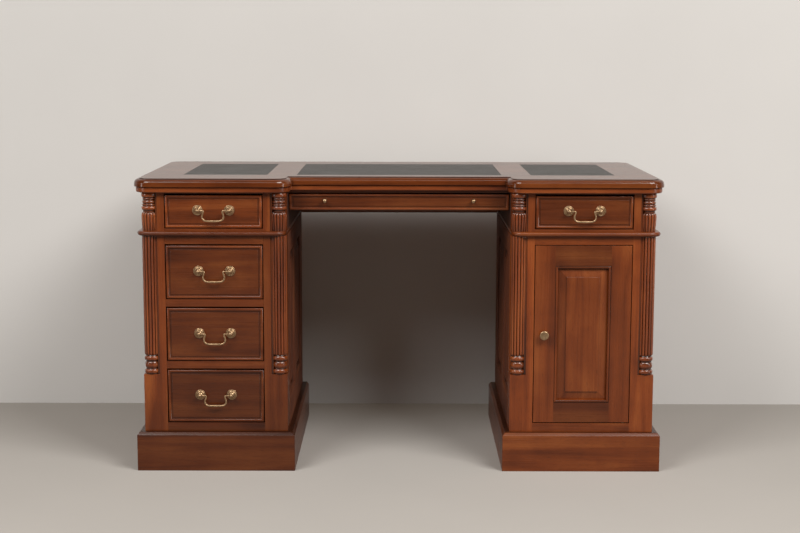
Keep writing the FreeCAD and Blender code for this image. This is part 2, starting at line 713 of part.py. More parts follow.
def bail(centre_x, level, face):
    # A swan-neck wire between the posts, thicker where the fingers pull.
    pivot = V(centre_x, face - POST_REACH, level)
    pin_end = HANDLE_SPACING / 2 + BAIL_PIN_DEPTH - BAIL_PIN_CLEARANCE
    half = [(pin_end, 0, 0), (BAIL_NECK, 0, BAIL_NECK_BEND),
            (BAIL_SHOULDER, BAIL_SHOULDER_DROP, BAIL_SHOULDER_BEND),
            (BAIL_CORNER, BAIL_DROP, BAIL_CORNER_BEND)]
    route = [(-x, drop, bend) for x, drop, bend in half] + half[::-1]
    points = [pivot + V(x, 0, -drop) for x, drop, bend in route]
    path = rounded_wire(points, [bend for x, drop, bend in route], False)
    section = Part.Wire(Part.makeCircle(BAIL_WIRE_RADIUS, points[0], X_AXIS))
    wire = path.makePipeShell([section], True, False)
    half_grip = BAIL_GRIP_LENGTH / 2
    grip_edges = [Part.Arc(V(-half_grip, 0, BAIL_WIRE_RADIUS), V(0, 0, BAIL_GRIP_RADIUS),
                           V(half_grip, 0, BAIL_WIRE_RADIUS)).toShape(),
                  Part.LineSegment(V(half_grip, 0, BAIL_WIRE_RADIUS), V(half_grip, 0, 0)).toShape(),
                  Part.LineSegment(V(half_grip, 0, 0), V(-half_grip, 0, 0)).toShape(),
                  Part.LineSegment(V(-half_grip, 0, 0), V(-half_grip, 0, BAIL_WIRE_RADIUS)).toShape()]
    grip = Part.Face(Part.Wire(grip_edges)).revolve(ORIGIN, X_AXIS, 360)
    grip.translate(pivot - Z_AXIS * BAIL_DROP)
    return wire.fuse(grip)


def bailed_drawer(name, centre_x, bottom, height):
    left = centre_x - opening_half
    right = centre_x + opening_half
    level = bottom + height / 2 + HANDLE_RISE
    front = drawer_front(left + DRAWER_GAP, right - DRAWER_GAP, bottom + DRAWER_GAP,
                         bottom + height - DRAWER_GAP, carcase_front)
    holes = []
    for side in (-1, 1):
        start = V(centre_x + side * HANDLE_SPACING / 2, carcase_front - FRONT_BEAD_PROUD, level)
        holes.append(cylinder(STUD_RADIUS + STUD_CLEARANCE, 2 * FRONT_THICKNESS, start, Y_AXIS))
    inset = DRAWER_GAP + SIDE_CLEARANCE
    save(name + "_drawer_front", [front.cut(holes)])
    save(name + "_drawer_box", drawer_box(left + inset, right - inset, bottom + RUNNER_CLEARANCE,
                                          bottom + height - BOX_TOP_CLEARANCE,
                                          carcase_front + FRONT_THICKNESS, frame_back - BOX_BACK_ROOM,
                                          DRAWER_BOTTOM_RISE))
    save(name + "_handle_posts", handle_posts(centre_x, level, carcase_front))
    save(name + "_bail", [bail(centre_x, level, carcase_front)])


bailed_drawer("left_top", -pedestal_centre, frieze_opening_bottom, FRIEZE_OPENING)
bailed_drawer("right_top", pedestal_centre, frieze_opening_bottom, FRIEZE_OPENING)
for index, name in enumerate(["lower", "middle", "upper"]):
    bailed_drawer("left_" + name, -pedestal_centre, opening_bottom + index * drawer_pitch, DRAWER_OPENING)

# Centre drawer with two small knobs.
centre_half = pedestal_inner - DRAWER_GAP
small_stem = turned([("neck", SMALL_KNOB_STEM, SMALL_KNOB_STEM_RADIUS)])
small_ball = Part.makeSphere(SMALL_KNOB_RADIUS,
                             V(0, 0, SMALL_KNOB_STEM + SMALL_KNOB_RADIUS - SMALL_KNOB_SEAT))
small_knob = small_stem.fuse(small_ball)
small_knob = small_knob.fuse(cylinder(STUD_RADIUS, FRONT_THICKNESS, V(0, 0, -FRONT_THICKNESS), Z_AXIS))
centre_front = drawer_front(-centre_half, centre_half, centre_front_bottom, centre_front_top, recess_face)
knob_level = (centre_front_bottom + centre_front_top) / 2 + SMALL_KNOB_RISE
knobs = []
for side in (-1, 1):
    knob_place = V(side * (centre_half - SMALL_KNOB_INSET), recess_face, knob_level)
    knobs.append(facing_front(small_knob, knob_place))
    hole = cylinder(STUD_RADIUS + STUD_CLEARANCE, FRONT_THICKNESS, knob_place, Y_AXIS)
    centre_front = centre_front.cut(hole)
save("centre_drawer_front", [centre_front])
save("centre_drawer_knobs", knobs)
centre_bearer_bottom = centre_front_bottom + CENTRE_BEARER_DROP
centre_bearer_top = centre_bearer_bottom + CENTRE_BEARER_THICKNESS
centre_box_half = centre_half - CENTRE_BOX_INSET
save("centre_drawer_box", drawer_box(-centre_box_half, centre_box_half,
                                     centre_bearer_top + RUNNER_CLEARANCE,
                                     centre_front_top - CENTRE_BOX_TOP_CLEARANCE,
                                     recess_face + FRONT_THICKNESS, frame_back - CENTRE_BOX_BACK_ROOM,
                                     CENTRE_BOTTOM_RISE))


# Runners: bearers under the drawer sides, with guides beside them.
def runner(opening_floor, bearer_thickness):
    guide_face = opening_right - DRAWER_GAP
    whole = box(guide_face, side_inner_right, post_back, frame_back,
                opening_floor, opening_floor + GUIDE_HEIGHT)
    if bearer_thickness > 0:
        bearer_left = guide_face - SIDE_CLEARANCE - SIDE_THICKNESS
        bearer = box(bearer_left, side_inner_right, post_back, frame_back,
                     opening_floor - bearer_thickness, opening_floor)
        whole = whole.fuse(bearer).removeSplitter()
    return [whole, about_pedestal(whole)]


drawer_runners = runner(opening_bottom, 0)
for index in range(1, PEDESTAL_DRAWERS):
    drawer_runners = drawer_runners + runner(opening_bottom + index * drawer_pitch, BEARER_THICKNESS)
save("left_drawer_runners", mirrored(drawer_runners))
frieze_runners = runner(frieze_opening_bottom, FRIEZE_LOWER_RAIL)
centre_runner = box(centre_box_half - SIDE_THICKNESS, pedestal_inner,
                    recess_face + FRONT_THICKNESS + DRAWER_GAP, frame_back,
                    centre_bearer_bottom, centre_bearer_top)
save("frieze_drawer_runners",
     frieze_runners + mirrored(frieze_runners) + [centre_runner] + mirrored([centre_runner]))

# Cupboard door on two pivots, with its knob and catch.
door_left = opening_left + DOOR_GAP
door_width = 2 * opening_half - 2 * DOOR_GAP
door_bottom = opening_bottom + DOOR_GAP
door_height = opening_top - opening_bottom - 2 * DOOR_GAP
door_top = door_bottom + door_height
door_frame, door_panel = framed_panel(door_width, door_height, DOOR_STILE, DOOR_STILE,
                                      DOOR_RAIL, DOOR_RAIL, 1, 0)
door_place = V(door_left, carcase_front, door_bottom)
door_frame = placed(door_frame, 0, door_place)
door_panel = placed(door_panel, 0, door_place)
pin_reach = DOOR_GAP + BUSH_LENGTH - BUSH_END_PLAY
socket_radius = PIVOT_RADIUS + PIVOT_SOCKET_PLAY
lower_socket = cylinder(socket_radius, PIVOT_DEPTH_IN_DOOR, V(pivot_x, pivot_y, door_bottom), Z_AXIS)
upper_socket = cylinder(socket_radius, PIVOT_DEPTH_IN_DOOR,
                        V(pivot_x, pivot_y, door_top - PIVOT_DEPTH_IN_DOOR), Z_AXIS)
pin_length = pin_reach + PIVOT_DEPTH_IN_DOOR
lower_pin = cylinder(PIVOT_RADIUS, pin_length, V(pivot_x, pivot_y, door_bottom - pin_reach), Z_AXIS)
collar = cylinder(PIVOT_COLLAR_RADIUS, DOOR_GAP, pivot_foot, Z_AXIS)
upper_pin = cylinder(PIVOT_RADIUS, pin_length, V(pivot_x, pivot_y, door_top - PIVOT_DEPTH_IN_DOOR), Z_AXIS)
save("door_pivot_pins", [lower_pin.fuse(collar).removeSplitter(), upper_pin])
bush_bore = PIVOT_RADIUS + PIVOT_CLEARANCE
lower_bush = bottom_bush_socket.cut(cylinder(bush_bore, BUSH_LENGTH, pivot_foot, -Z_AXIS))
upper_bush = top_bush_socket.cut(cylinder(bush_bore, BUSH_LENGTH, pivot_head, Z_AXIS))
save("door_pivot_bushes", [lower_bush, upper_bush])
knob_place = V(door_left + DOOR_KNOB_INSET, carcase_front, (door_bottom + door_top) / 2)
door_knob = turned([("neck", DOOR_KNOB_ROSE, DOOR_KNOB_ROSE_RADIUS),
                    ("neck", DOOR_KNOB_NECK, DOOR_KNOB_NECK_RADIUS),
                    ("bead", DOOR_KNOB_HEAD, DOOR_KNOB_RADIUS)])
door_knob = door_knob.fuse(cylinder(STUD_RADIUS, FRAME_THICKNESS, V(0, 0, -FRAME_THICKNESS), Z_AXIS))
save("door_knob", [facing_front(door_knob, knob_place)])
knob_hole = cylinder(STUD_RADIUS + STUD_CLEARANCE, FRAME_THICKNESS, knob_place, Y_AXIS)
save("door_frame", [member.cut([lower_socket, upper_socket, knob_hole]) for member in door_frame])
save("door_panel", door_panel)
catch_front = carcase_front + FRAME_THICKNESS + CATCH_GAP
save("door_catch", [box(door_left + CATCH_INSET, door_left + CATCH_INSET + CATCH_WIDTH,
                        catch_front, catch_front + CATCH_DEPTH, opening_top - CATCH_HEIGHT, opening_top)])

print("desk", TOP_WIDTH, "x", TOP_DEPTH, "x", desk_height)
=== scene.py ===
import json
import math
import random

import bmesh
import bpy
import numpy as np
from mathutils import Matrix, Vector

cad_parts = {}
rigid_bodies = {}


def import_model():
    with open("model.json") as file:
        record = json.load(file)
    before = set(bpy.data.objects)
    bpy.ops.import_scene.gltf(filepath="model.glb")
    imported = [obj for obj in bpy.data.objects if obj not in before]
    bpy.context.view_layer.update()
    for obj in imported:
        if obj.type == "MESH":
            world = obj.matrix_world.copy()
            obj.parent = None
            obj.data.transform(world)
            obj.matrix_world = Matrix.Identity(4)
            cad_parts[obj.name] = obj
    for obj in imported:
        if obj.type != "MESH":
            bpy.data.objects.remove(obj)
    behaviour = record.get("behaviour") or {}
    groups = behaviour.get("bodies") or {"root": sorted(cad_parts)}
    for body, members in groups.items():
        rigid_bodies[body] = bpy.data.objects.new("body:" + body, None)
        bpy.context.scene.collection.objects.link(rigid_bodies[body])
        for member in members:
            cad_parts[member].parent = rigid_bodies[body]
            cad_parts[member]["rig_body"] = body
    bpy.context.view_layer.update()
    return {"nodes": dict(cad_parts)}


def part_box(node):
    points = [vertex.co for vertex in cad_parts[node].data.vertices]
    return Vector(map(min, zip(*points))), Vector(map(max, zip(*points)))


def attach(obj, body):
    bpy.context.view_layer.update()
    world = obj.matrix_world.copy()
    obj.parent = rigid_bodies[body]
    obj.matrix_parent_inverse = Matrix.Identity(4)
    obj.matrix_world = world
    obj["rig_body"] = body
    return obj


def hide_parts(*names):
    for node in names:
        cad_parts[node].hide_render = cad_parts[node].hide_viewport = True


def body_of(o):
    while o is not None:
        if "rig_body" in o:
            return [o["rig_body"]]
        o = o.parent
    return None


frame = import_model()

scene = bpy.context.scene
scene.view_settings.view_transform = "Standard"
closeBy = 1e-5  # places this near to each other count as one
print("desk: frame loaded,", len(frame["nodes"]), "nodes")


def clearSelection():
    active = bpy.context.view_layer.objects.active
    if active and active.mode != "OBJECT":
        bpy.ops.object.mode_set(mode="OBJECT")
    bpy.ops.object.select_all(action="DESELECT")


def pick(piece):
    clearSelection()
    piece.select_set(True)
    bpy.context.view_layer.objects.active = piece


def newPiece(name, mesh):
    piece = bpy.data.objects.new(name, mesh)
    scene.collection.objects.link(piece)
    pick(piece)
    return piece


def editMode():
    bpy.ops.object.mode_set(mode="EDIT")


def objectMode():
    bpy.ops.object.mode_set(mode="OBJECT")


def selectAll():  # edit mode
    bpy.ops.mesh.select_all(action="SELECT")


def seat(piece, nodeName, material):  # rides where its CAD node rides and takes its place
    piece.data.materials.clear()
    piece.data.materials.append(material)
    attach(piece, body_of(frame["nodes"][nodeName])[0])
    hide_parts(nodeName)


# Camera at the photo's place

cameraSet = {"place": (0.0029, -4.2149, 1.1126), "down": 8.152, "roll": 0.126, "lens": 67.1355, "sensor": 36}

camera = bpy.data.objects.new("camera", bpy.data.cameras.new("camera"))
scene.collection.objects.link(camera)
camera.data.sensor_width = cameraSet["sensor"]
camera.data.lens = cameraSet["lens"]
camera.matrix_world = (Matrix.Translation(cameraSet["place"])
                       @ Matrix.Rotation(math.radians(90 - cameraSet["down"]), 4, "X")
                       @ Matrix.Rotation(math.radians(cameraSet["roll"]), 4, "Z"))
scene.camera = camera


# Node helpers

nodeStep = 200


def addNode(tree, kind, **settings):  # each node stands to the right of the one before
    node = tree.nodes.new(kind)
    node.location.x = nodeStep * len(tree.nodes)
    for key, value in settings.items():
        setattr(node, key, value)
    return node


def plug(tree, socket, value):  # a link from another socket, or a plain value
    if isinstance(value, bpy.types.NodeSocket):
        tree.links.new(value, socket)
    else:
        socket.default_value = (*value, 1) if socket.type == "RGBA" else value


def feed(tree, node, **values):  # sockets by name, spaces written as _
    for key, value in values.items():
        plug(tree, node.inputs[key.replace("_", " ")], value)


def maths(tree, operation, first, second):
    node = addNode(tree, "ShaderNodeMath", operation=operation)
    plug(tree, node.inputs[0], first)
    plug(tree, node.inputs[1], second)
    return node.outputs[0]


def blended(tree, first, share, second):  # a share of the first, and the rest of the second
    rest = maths(tree, "MULTIPLY", second, 1 - share)
    return maths(tree, "ADD", maths(tree, "MULTIPLY", first, share), rest)


def varied(tree, value, swing, level):  # a level that swings with the value, evenly to both sides
    return maths(tree, "ADD", maths(tree, "MULTIPLY", value, swing), level - swing / 2)


def stretched(tree, place, factors):
    node = addNode(tree, "ShaderNodeVectorMath", operation="MULTIPLY")
    plug(tree, node.inputs[0], place)
    plug(tree, node.inputs[1], factors)
    return node.outputs["Vector"]


def scaled(tree, colour, factor):
    node = addNode(tree, "ShaderNodeVectorMath", operation="SCALE")
    plug(tree, node.inputs[0], colour)
    plug(tree, node.inputs["Scale"], factor)
    return node.outputs["Vector"]


def noise(tree, place, scale=1.0, detail=2.0, rough=0.5, bend=0.0):
    node = addNode(tree, "ShaderNodeTexNoise")
    feed(tree, node, Vector=place, Scale=scale, Detail=detail, Roughness=rough, Distortion=bend)
    return node.outputs["Fac"]


def spread(tree, value, low, high, toLow=0.0, toHigh=1.0):  # smooth step
    node = addNode(tree, "ShaderNodeMapRange", interpolation_type="SMOOTHSTEP")
    feed(tree, node, Value=value, From_Min=low, From_Max=high, To_Min=toLow, To_Max=toHigh)
    return node.outputs["Result"]


def ramp(tree, value, stops):
    node = addNode(tree, "ShaderNodeValToRGB")
    band = node.color_ramp
    while len(band.elements) < len(stops):
        band.elements.new(0.5)
    for element, (place, colour) in zip(band.elements, stops):
        element.position = place
        element.color = (*colour, 1)
    plug(tree, node.inputs["Fac"], value)
    return node.outputs["Color"]


def mixColours(tree, factor, first, second):
    node = addNode(tree, "ShaderNodeMix", data_type="RGBA")
    for index, value in ((0, factor), (6, first), (7, second)):  # the sockets of a colour mix
        plug(tree, node.inputs[index], value)
    return node.outputs[2]


def attribute(tree, name, output="Fac"):
    return addNode(tree, "ShaderNodeAttribute", attribute_name=name).outputs[output]


def objectPlace(tree):
    return addNode(tree, "ShaderNodeTexCoord").outputs["Object"]


def inHollows(tree, reach, low, high, most):  # most in a tight corner, none on an open face
    node = addNode(tree, "ShaderNodeAmbientOcclusion", samples=8, only_local=True)
    feed(tree, node, Distance=reach)
    return spread(tree, node.outputs["AO"], low, high, most, 0.0)


def bumped(tree, height, strength, depth):
    node = addNode(tree, "ShaderNodeBump")
    feed(tree, node, Strength=strength, Distance=depth, Height=height)
    return node.outputs["Normal"]


def newMaterial(name):
    material = bpy.data.materials.new(name)
    material.use_nodes = True
    tree = material.node_tree
    return material, tree, tree.nodes["Principled BSDF"]


# Wood grain shared by the mahogany and the drawer linings

grainSet = {  # cells per metre along, across and through the board
    "broad": (1.6, 24, 24), "cloud": (9, 6, 6), "fine": (7, 380, 380), "pits": (60, 1500, 1500),
    "broadShare": 0.72, "pore": (0.60, 0.74), "fineHeight": 0.35,
}


def makeGrain():  # place runs along the board in X, across it in Y and through it in Z, in metres
    group = bpy.data.node_groups.new("woodGrain", "ShaderNodeTree")
    sockets = group.interface
    sockets.new_socket("Place", in_out="INPUT", socket_type="NodeSocketVector")
    sockets.new_socket("Pore Depth", in_out="INPUT", socket_type="NodeSocketFloat")
    for name in ("Figure", "Streak", "Pore", "Height"):
        sockets.new_socket(name, in_out="OUTPUT", socket_type="NodeSocketFloat")
    groupIn = addNode(group, "NodeGroupInput")
    place = groupIn.outputs["Place"]
    broad = noise(group, stretched(group, place, grainSet["broad"]), detail=2.6, rough=0.52, bend=0.9)
    cloud = noise(group, stretched(group, place, grainSet["cloud"]), bend=0.6)
    fine = noise(group, stretched(group, place, grainSet["fine"]), detail=3, rough=0.6)
    pits = noise(group, stretched(group, place, grainSet["pits"]), detail=1)
    pore = spread(group, pits, *grainSet["pore"])
    height = maths(group, "SUBTRACT", maths(group, "MULTIPLY", fine, grainSet["fineHeight"]),
                   maths(group, "MULTIPLY", pore, groupIn.outputs["Pore Depth"]))
    figure = blended(group, broad, grainSet["broadShare"], cloud)
    feed(group, addNode(group, "NodeGroupOutput"), Figure=figure, Streak=fine, Pore=pore, Height=height)
    return group


grainGroup = makeGrain()


def grainNodes(tree, poreDepth):  # the grain at each board's own place
    grain = addNode(tree, "ShaderNodeGroup", node_tree=grainGroup)
    feed(tree, grain, Place=attribute(tree, "grainPlace", "Vector"), Pore_Depth=poreDepth)
    return grain.outputs


# Mahogany: stained red-brown, satin polish, dark glaze in the pores, and painted shade with dark glaze in the
# quirks and hollows

mahoganySet = {
    "ramp": ((0.31, (0.072, 0.0135, 0.003)), (0.50, (0.180, 0.039, 0.008)), (0.71, (0.300, 0.082, 0.019))),
    "figureShare": 0.90, "poreDepth": 1.0, "poreShade": 0.55, "glaze": (0.022, 0.0050, 0.0022),
    "hollowShadeReach": 0.010, "hollowShadeSpread": (0.30, 0.92, 0.78), "roughness": 0.29, "roughSwing": 0.14,
    "bump": 0.04, "bumpDepth": 0.0004, "wax": 0.28, "waxRoughness": 0.16,
}


def makeMahogany():
    material, tree, shader = newMaterial("mahogany")
    grain = grainNodes(tree, mahoganySet["poreDepth"])
    level = blended(tree, grain["Figure"], mahoganySet["figureShare"], grain["Streak"])
    wood = mixColours(tree, maths(tree, "MULTIPLY", grain["Pore"], mahoganySet["poreShade"]),
                      ramp(tree, level, mahoganySet["ramp"]), mahoganySet["glaze"])
    # painted shade: darker in each board's own hollows and quirks, by ambient occlusion, standing also for
    # dark glaze
    shade = inHollows(tree, mahoganySet["hollowShadeReach"], *mahoganySet["hollowShadeSpread"])
    colour = mixColours(tree, shade, scaled(tree, wood, attribute(tree, "boardTone")), mahoganySet["glaze"])
    gloss = varied(tree, grain["Streak"], mahoganySet["roughSwing"], mahoganySet["roughness"])
    feed(tree, shader, Base_Color=colour,
         Roughness=maths(tree, "ADD", gloss, attribute(tree, "roughening")),
         Normal=bumped(tree, grain["Height"], mahoganySet["bump"], mahoganySet["bumpDepth"]),
         Coat_Weight=maths(tree, "MULTIPLY", attribute(tree, "polish"), mahoganySet["wax"]),
         Coat_Roughness=mahoganySet["waxRoughness"])
    return material


liningSet = {
    "ramp": ((0.33, (0.27, 0.165, 0.085)), (0.66, (0.46, 0.31, 0.17))), "figureShare": 0.6, "poreDepth": 0.5,
    "roughness": 0.62, "roughSwing": 0.2, "bump": 0.2, "bumpDepth": 0.0004,
}


def makeLining():
    material, tree, shader = newMaterial("drawerLining")
    grain = grainNodes(tree, liningSet["poreDepth"])
    level = blended(tree, grain["Figure"], liningSet["figureShare"], grain["Streak"])
    wood = ramp(tree, level, liningSet["ramp"])
    feed(tree, shader, Base_Color=scaled(tree, wood, attribute(tree, "boardTone")),
         Roughness=varied(tree, grain["Streak"], liningSet["roughSwing"], liningSet["roughness"]),
         Normal=bumped(tree, grain["Height"], liningSet["bump"], liningSet["bumpDepth"]))
    return material


leatherSet = {
    "ramp": ((0.3, (0.010, 0.0095, 0.009)), (0.8, (0.026, 0.024, 0.022))), "grain": 900, "crease": 0.25,
    "cloud": 14, "cloudShare": 0.75, "roughness": 0.42, "roughSwing": 0.16, "bump": 0.25, "bumpDepth": 0.0003,
    "shine": 0.29,
}


def makeLeather():
    material, tree, shader = newMaterial("darkLeather")
    place = objectPlace(tree)
    cells = addNode(tree, "ShaderNodeTexVoronoi", feature="DISTANCE_TO_EDGE")
    feed(tree, cells, Vector=place, Scale=leatherSet["grain"])
    pebble = spread(tree, cells.outputs["Distance"], 0.0, leatherSet["crease"])
    cloud = noise(tree, place, scale=leatherSet["cloud"], detail=4)
    colour = ramp(tree, blended(tree, cloud, leatherSet["cloudShare"], pebble), leatherSet["ramp"])
    feed(tree, shader, Base_Color=colour, Specular_IOR_Level=leatherSet["shine"],
         Roughness=varied(tree, cloud, leatherSet["roughSwing"], leatherSet["roughness"]),
         Normal=bumped(tree, pebble, leatherSet["bump"], leatherSet["bumpDepth"]))
    return material


brassWear = {"cloud": 170, "wornSpread": (0.35, 0.65), "rub": (1500, 1500, 260), "dirtReach": 0.004,
             "dirtSpread": (0.35, 0.95, 0.9), "dirtRough": 0.25, "roughSwing": 0.2, "bump": 0.008,
             "bumpDepth": 0.0002}
agedBrassSet = {"bright": (0.58, 0.400, 0.240), "worn": (0.43, 0.286, 0.162), "tarnish": (0.085, 0.05, 0.026),
                "roughness": 0.37}
dullBrassSet = {"bright": (0.16, 0.115, 0.065), "worn": (0.11, 0.075, 0.042), "tarnish": (0.03, 0.02, 0.012),
                "roughness": 0.45}


def makeBrass(name, brassSet):
    material, tree, shader = newMaterial(name)
    place = objectPlace(tree)
    cloud = noise(tree, place, scale=brassWear["cloud"], detail=4, rough=0.6)
    rub = noise(tree, stretched(tree, place, brassWear["rub"]))
    dirt = inHollows(tree, brassWear["dirtReach"], *brassWear["dirtSpread"])
    wear = spread(tree, cloud, *brassWear["wornSpread"])
    metal = mixColours(tree, wear, brassSet["bright"], brassSet["worn"])
    gloss = varied(tree, cloud, brassWear["roughSwing"], brassSet["roughness"])
    feed(tree, shader, Base_Color=mixColours(tree, dirt, metal, brassSet["tarnish"]), Metallic=1.0,
         Roughness=maths(tree, "ADD", gloss, maths(tree, "MULTIPLY", dirt, brassWear["dirtRough"])),
         Normal=bumped(tree, rub, brassWear["bump"], brassWear["bumpDepth"]))
    return material


mahogany = makeMahogany()
lining = makeLining()
darkLeather = makeLeather()
brass = makeBrass("agedBrass", agedBrassSet)
dullBrass = makeBrass("dullBrass", dullBrassSet)
print("desk: materials ready")


# Boards copied from the CAD, each welded by itself

weldSet = {"reach": 2e-6, "flatAngle": 0.3}


def boardNumbers(mesh):  # triangles come board by board, so a board ends where its skin closes
    places = [tuple(vertex.co) for vertex in mesh.vertices]
    openEdges = set()
    numbers = []
    board = 0
    for polygon in mesh.polygons:
        corners = [places[index] for index in polygon.vertices]
        numbers.append(board)
        for start, end in zip(corners, corners[1:] + corners[:1]):
            if (end, start) in openEdges:
                openEdges.remove((end, start))
            else:
                openEdges.add((start, end))
        if not openEdges:
            board += 1
    return numbers


def numberBoards(piece, numbers):
    piece.data.attributes.new("board", "INT", "FACE").data.foreach_set("value", numbers)


def weldBoards(piece):
    mesh = piece.data
    numbers = boardNumbers(mesh)
    numberBoards(piece, numbers)
    pick(piece)
    bpy.ops.mesh.customdata_custom_splitnormals_clear()
    editMode()
    bpy.ops.mesh.select_mode(type="FACE")
    for board in range(max(numbers) + 1):
        bpy.ops.mesh.select_all(action="DESELECT")
        shape = bmesh.from_edit_mesh(mesh)
        layer = shape.faces.layers.int["board"]
        for polygon in shape.faces:
            if polygon[layer] == board:
                polygon.select_set(True)
        bmesh.update_edit_mesh(mesh)
        bpy.ops.mesh.remove_doubles(threshold=weldSet["reach"])
    selectAll()
    bpy.ops.mesh.dissolve_limited(angle_limit=math.radians(weldSet["flatAngle"]))
    objectMode()


def softenEdges(piece, width, segments=2, sharpest=40):
    pick(piece)
    edge = piece.modifiers.new("softEdges", "BEVEL")
    edge.width = width
    edge.segments = segments
    edge.limit_method = "ANGLE"
    edge.angle_limit = math.radians(sharpest)
    bpy.ops.object.modifier_apply(modifier=edge.name)


creases = {"plain": 35, "fielded": 9, "drawer": 50, "column": 55, "brass": 60}  # sharper edges stay


def evenShading(piece, angle=creases["plain"]):
    pick(piece)
    bpy.ops.object.shade_smooth_by_angle(angle=math.radians(angle))
    even = piece.modifiers.new("evenShading", "WEIGHTED_NORMAL")
    even.keep_sharp = True
    bpy.ops.object.modifier_apply(modifier=even.name)


def readAll(items, field, width, kind):
    values = np.zeros(len(items) * width, kind)
    items.foreach_get(field, values)
    return values


grainShift = 20  # metres, so that no two boards share their figure


def layGrain(piece, seed, along=None, tone=1.0, play=0.07, railTone=1.0):  # place and tone for each board
    mesh = piece.data
    dice = random.Random(seed)
    corners = readAll(mesh.loops, "vertex_index", 1, np.int32)
    places = readAll(mesh.vertices, "co", 3, np.float32).reshape(-1, 3)[corners]
    numbers = np.zeros(len(mesh.polygons), np.int32)
    if mesh.attributes.get("board"):
        numbers = readAll(mesh.attributes["board"].data, "value", 1, np.int32)
    numbers = np.repeat(numbers, readAll(mesh.polygons, "loop_total", 1, np.int32))
    grainPlace = np.zeros_like(places)
    tones = np.zeros(len(places), np.float32)
    for board in range(int(numbers.max()) + 1):
        mine = numbers == board
        if not mine.any():
            continue
        low, high = places[mine].min(axis=0), places[mine].max(axis=0)
        order = list(np.argsort(low - high))
        if along is not None:
            order = [along] + [axis for axis in order if axis != along]
        shift = [dice.uniform(-grainShift, grainShift) for axis in range(3)]
        grainPlace[mine] = (places[mine] - (low + high) / 2)[:, order] + shift
        tones[mine] = tone * dice.uniform(1 - play, 1 + play) * (railTone if order[0] == 0 else 1.0)
    placeLayer = mesh.attributes.new("grainPlace", "FLOAT_VECTOR", "CORNER")
    placeLayer.data.foreach_set("vector", grainPlace.ravel())
    mesh.attributes.new("boardTone", "FLOAT", "CORNER").data.foreach_set("value", tones)


def retone(piece, test, strength):  # scales the tone at the places that pass the test, for real stain and for painted light and shade
    mesh = piece.data
    tones = mesh.attributes["boardTone"].data
    for corner in mesh.loops:
        if test(mesh.vertices[corner.vertex_index].co):
            tones[corner.index].value *= strength


def retoneFaces(piece, test, strength):
    tones = piece.data.attributes["boardTone"].data
    for polygon in piece.data.polygons:
        if test(polygon):
            for corner in polygon.loop_indices:
                tones[corner].value *= strength


def finishFaces(piece, kind, level):  # polish adds wax, roughening adds to the roughness
    levels = [level(polygon) for polygon in piece.data.polygons]
    piece.data.attributes.new(kind, "FLOAT", "FACE").data.foreach_set("value", levels)


frontSet = {"play": 0.02, "railTone": 0.86, "openingShade": 0.35, "openingDepth": 0.0004, "openingEnd": 0.001,
            "footLine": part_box("left_lower_columns")[0][2] - 0.004, "footHeight": 0.001}


def darkenOpenings(piece):  # painted shade and dark stain behind the face, where only gaps show it
    places = [vertex.co for vertex in piece.data.vertices]
    behind = min(place.y for place in places) + frontSet["openingDepth"]
    left = min(place.x for place in places) + frontSet["openingEnd"]
    right = max(place.x for place in places) - frontSet["openingEnd"]
    retone(piece, lambda place: place.y > behind and left < place.x < right, frontSet["openingShade"])


def camel(name):
    words = name.split("_")
    return words[0] + "".join(word.capitalize() for word in words[1:])


def boardPiece(pieceName, nodeName, edge, along, tone, material=mahogany,
               crease=creases["plain"]):
    piece = newPiece(pieceName, frame["nodes"][nodeName].data.copy())
    weldBoards(piece)
    if edge:
        softenEdges(piece, edge)
    if nodeName.endswith("front_frame"):  # a line across the posts, where the painted shade on their feet starts
        editMode()
        selectAll()
        bpy.ops.mesh.bisect(plane_co=(0, 0, frontSet["footLine"]), plane_no=(0, 0, 1))
        objectMode()
    evenShading(piece, crease)
    if nodeName.endswith(("front_frame", "frieze_frame")):
        layGrain(piece, pieceName, along, tone, frontSet["play"], frontSet["railTone"])
        darkenOpenings(piece)
    else:
        layGrain(piece, pieceName, along, tone)
    seat(piece, nodeName, material)


# the tones carry painted light too: the right pedestal's boards are painted lighter than the left's, as more
# light falls from the right, and the side frames and panels darker, for the shade in the kneehole
carcaseBoards = {  # node: softened edge, grain axis, tone
    "left_frieze_frame": (0.0005, None, 1.08), "right_frieze_frame": (0.0005, None, 1.14),
    "frieze_back_rail": (0.0008, None, 0.9), "centre_front_rail": (0.0004, None, 0.9),
    "left_waist_board": (0, 0, 0.86), "right_waist_board": (0, 0, 0.92),
    "left_front_frame": (0.0005, None, 1.10), "right_front_frame": (0.0005, None, 1.50),
    "left_side_frames": (0.0005, None, 0.75), "right_side_frames": (0.0005, None, 0.75),
    "left_side_panels": (0.0004, None, 0.75), "right_side_panels": (0.0004, None, 0.75),
    "left_back_frame": (0.0005, None, 0.9), "right_back_frame": (0.0005, None, 0.9),
    "back_panels": (0.0004, None, 0.9), "pedestal_bottom_boards": (0.0008, None, 0.8),
    "left_plinth": (0.0010, None, 0.63), "right_plinth": (0.0010, None, 1.0),
    "cupboard_shelf": (0.0010, 0, 0.85),
}
drawerNames = ("left_top", "left_upper", "left_middle", "left_lower", "right_top")

for nodeName, (edge, along, tone) in carcaseBoards.items():
    crease = creases["fielded" if "panel" in nodeName else "plain"]
    boardPiece(camel(nodeName) + "Wood", nodeName, edge, along, tone, crease=crease)
for name in drawerNames + ("centre",):
    boardPiece(camel(name) + "DrawerTray", name + "_drawer_box", 0.0008, None, 1.0, lining)
for nodeName in ("frieze_drawer_runners", "left_drawer_runners"):
    boardPiece(camel(nodeName) + "Wood", nodeName, 0.0006, None, 0.9, lining)

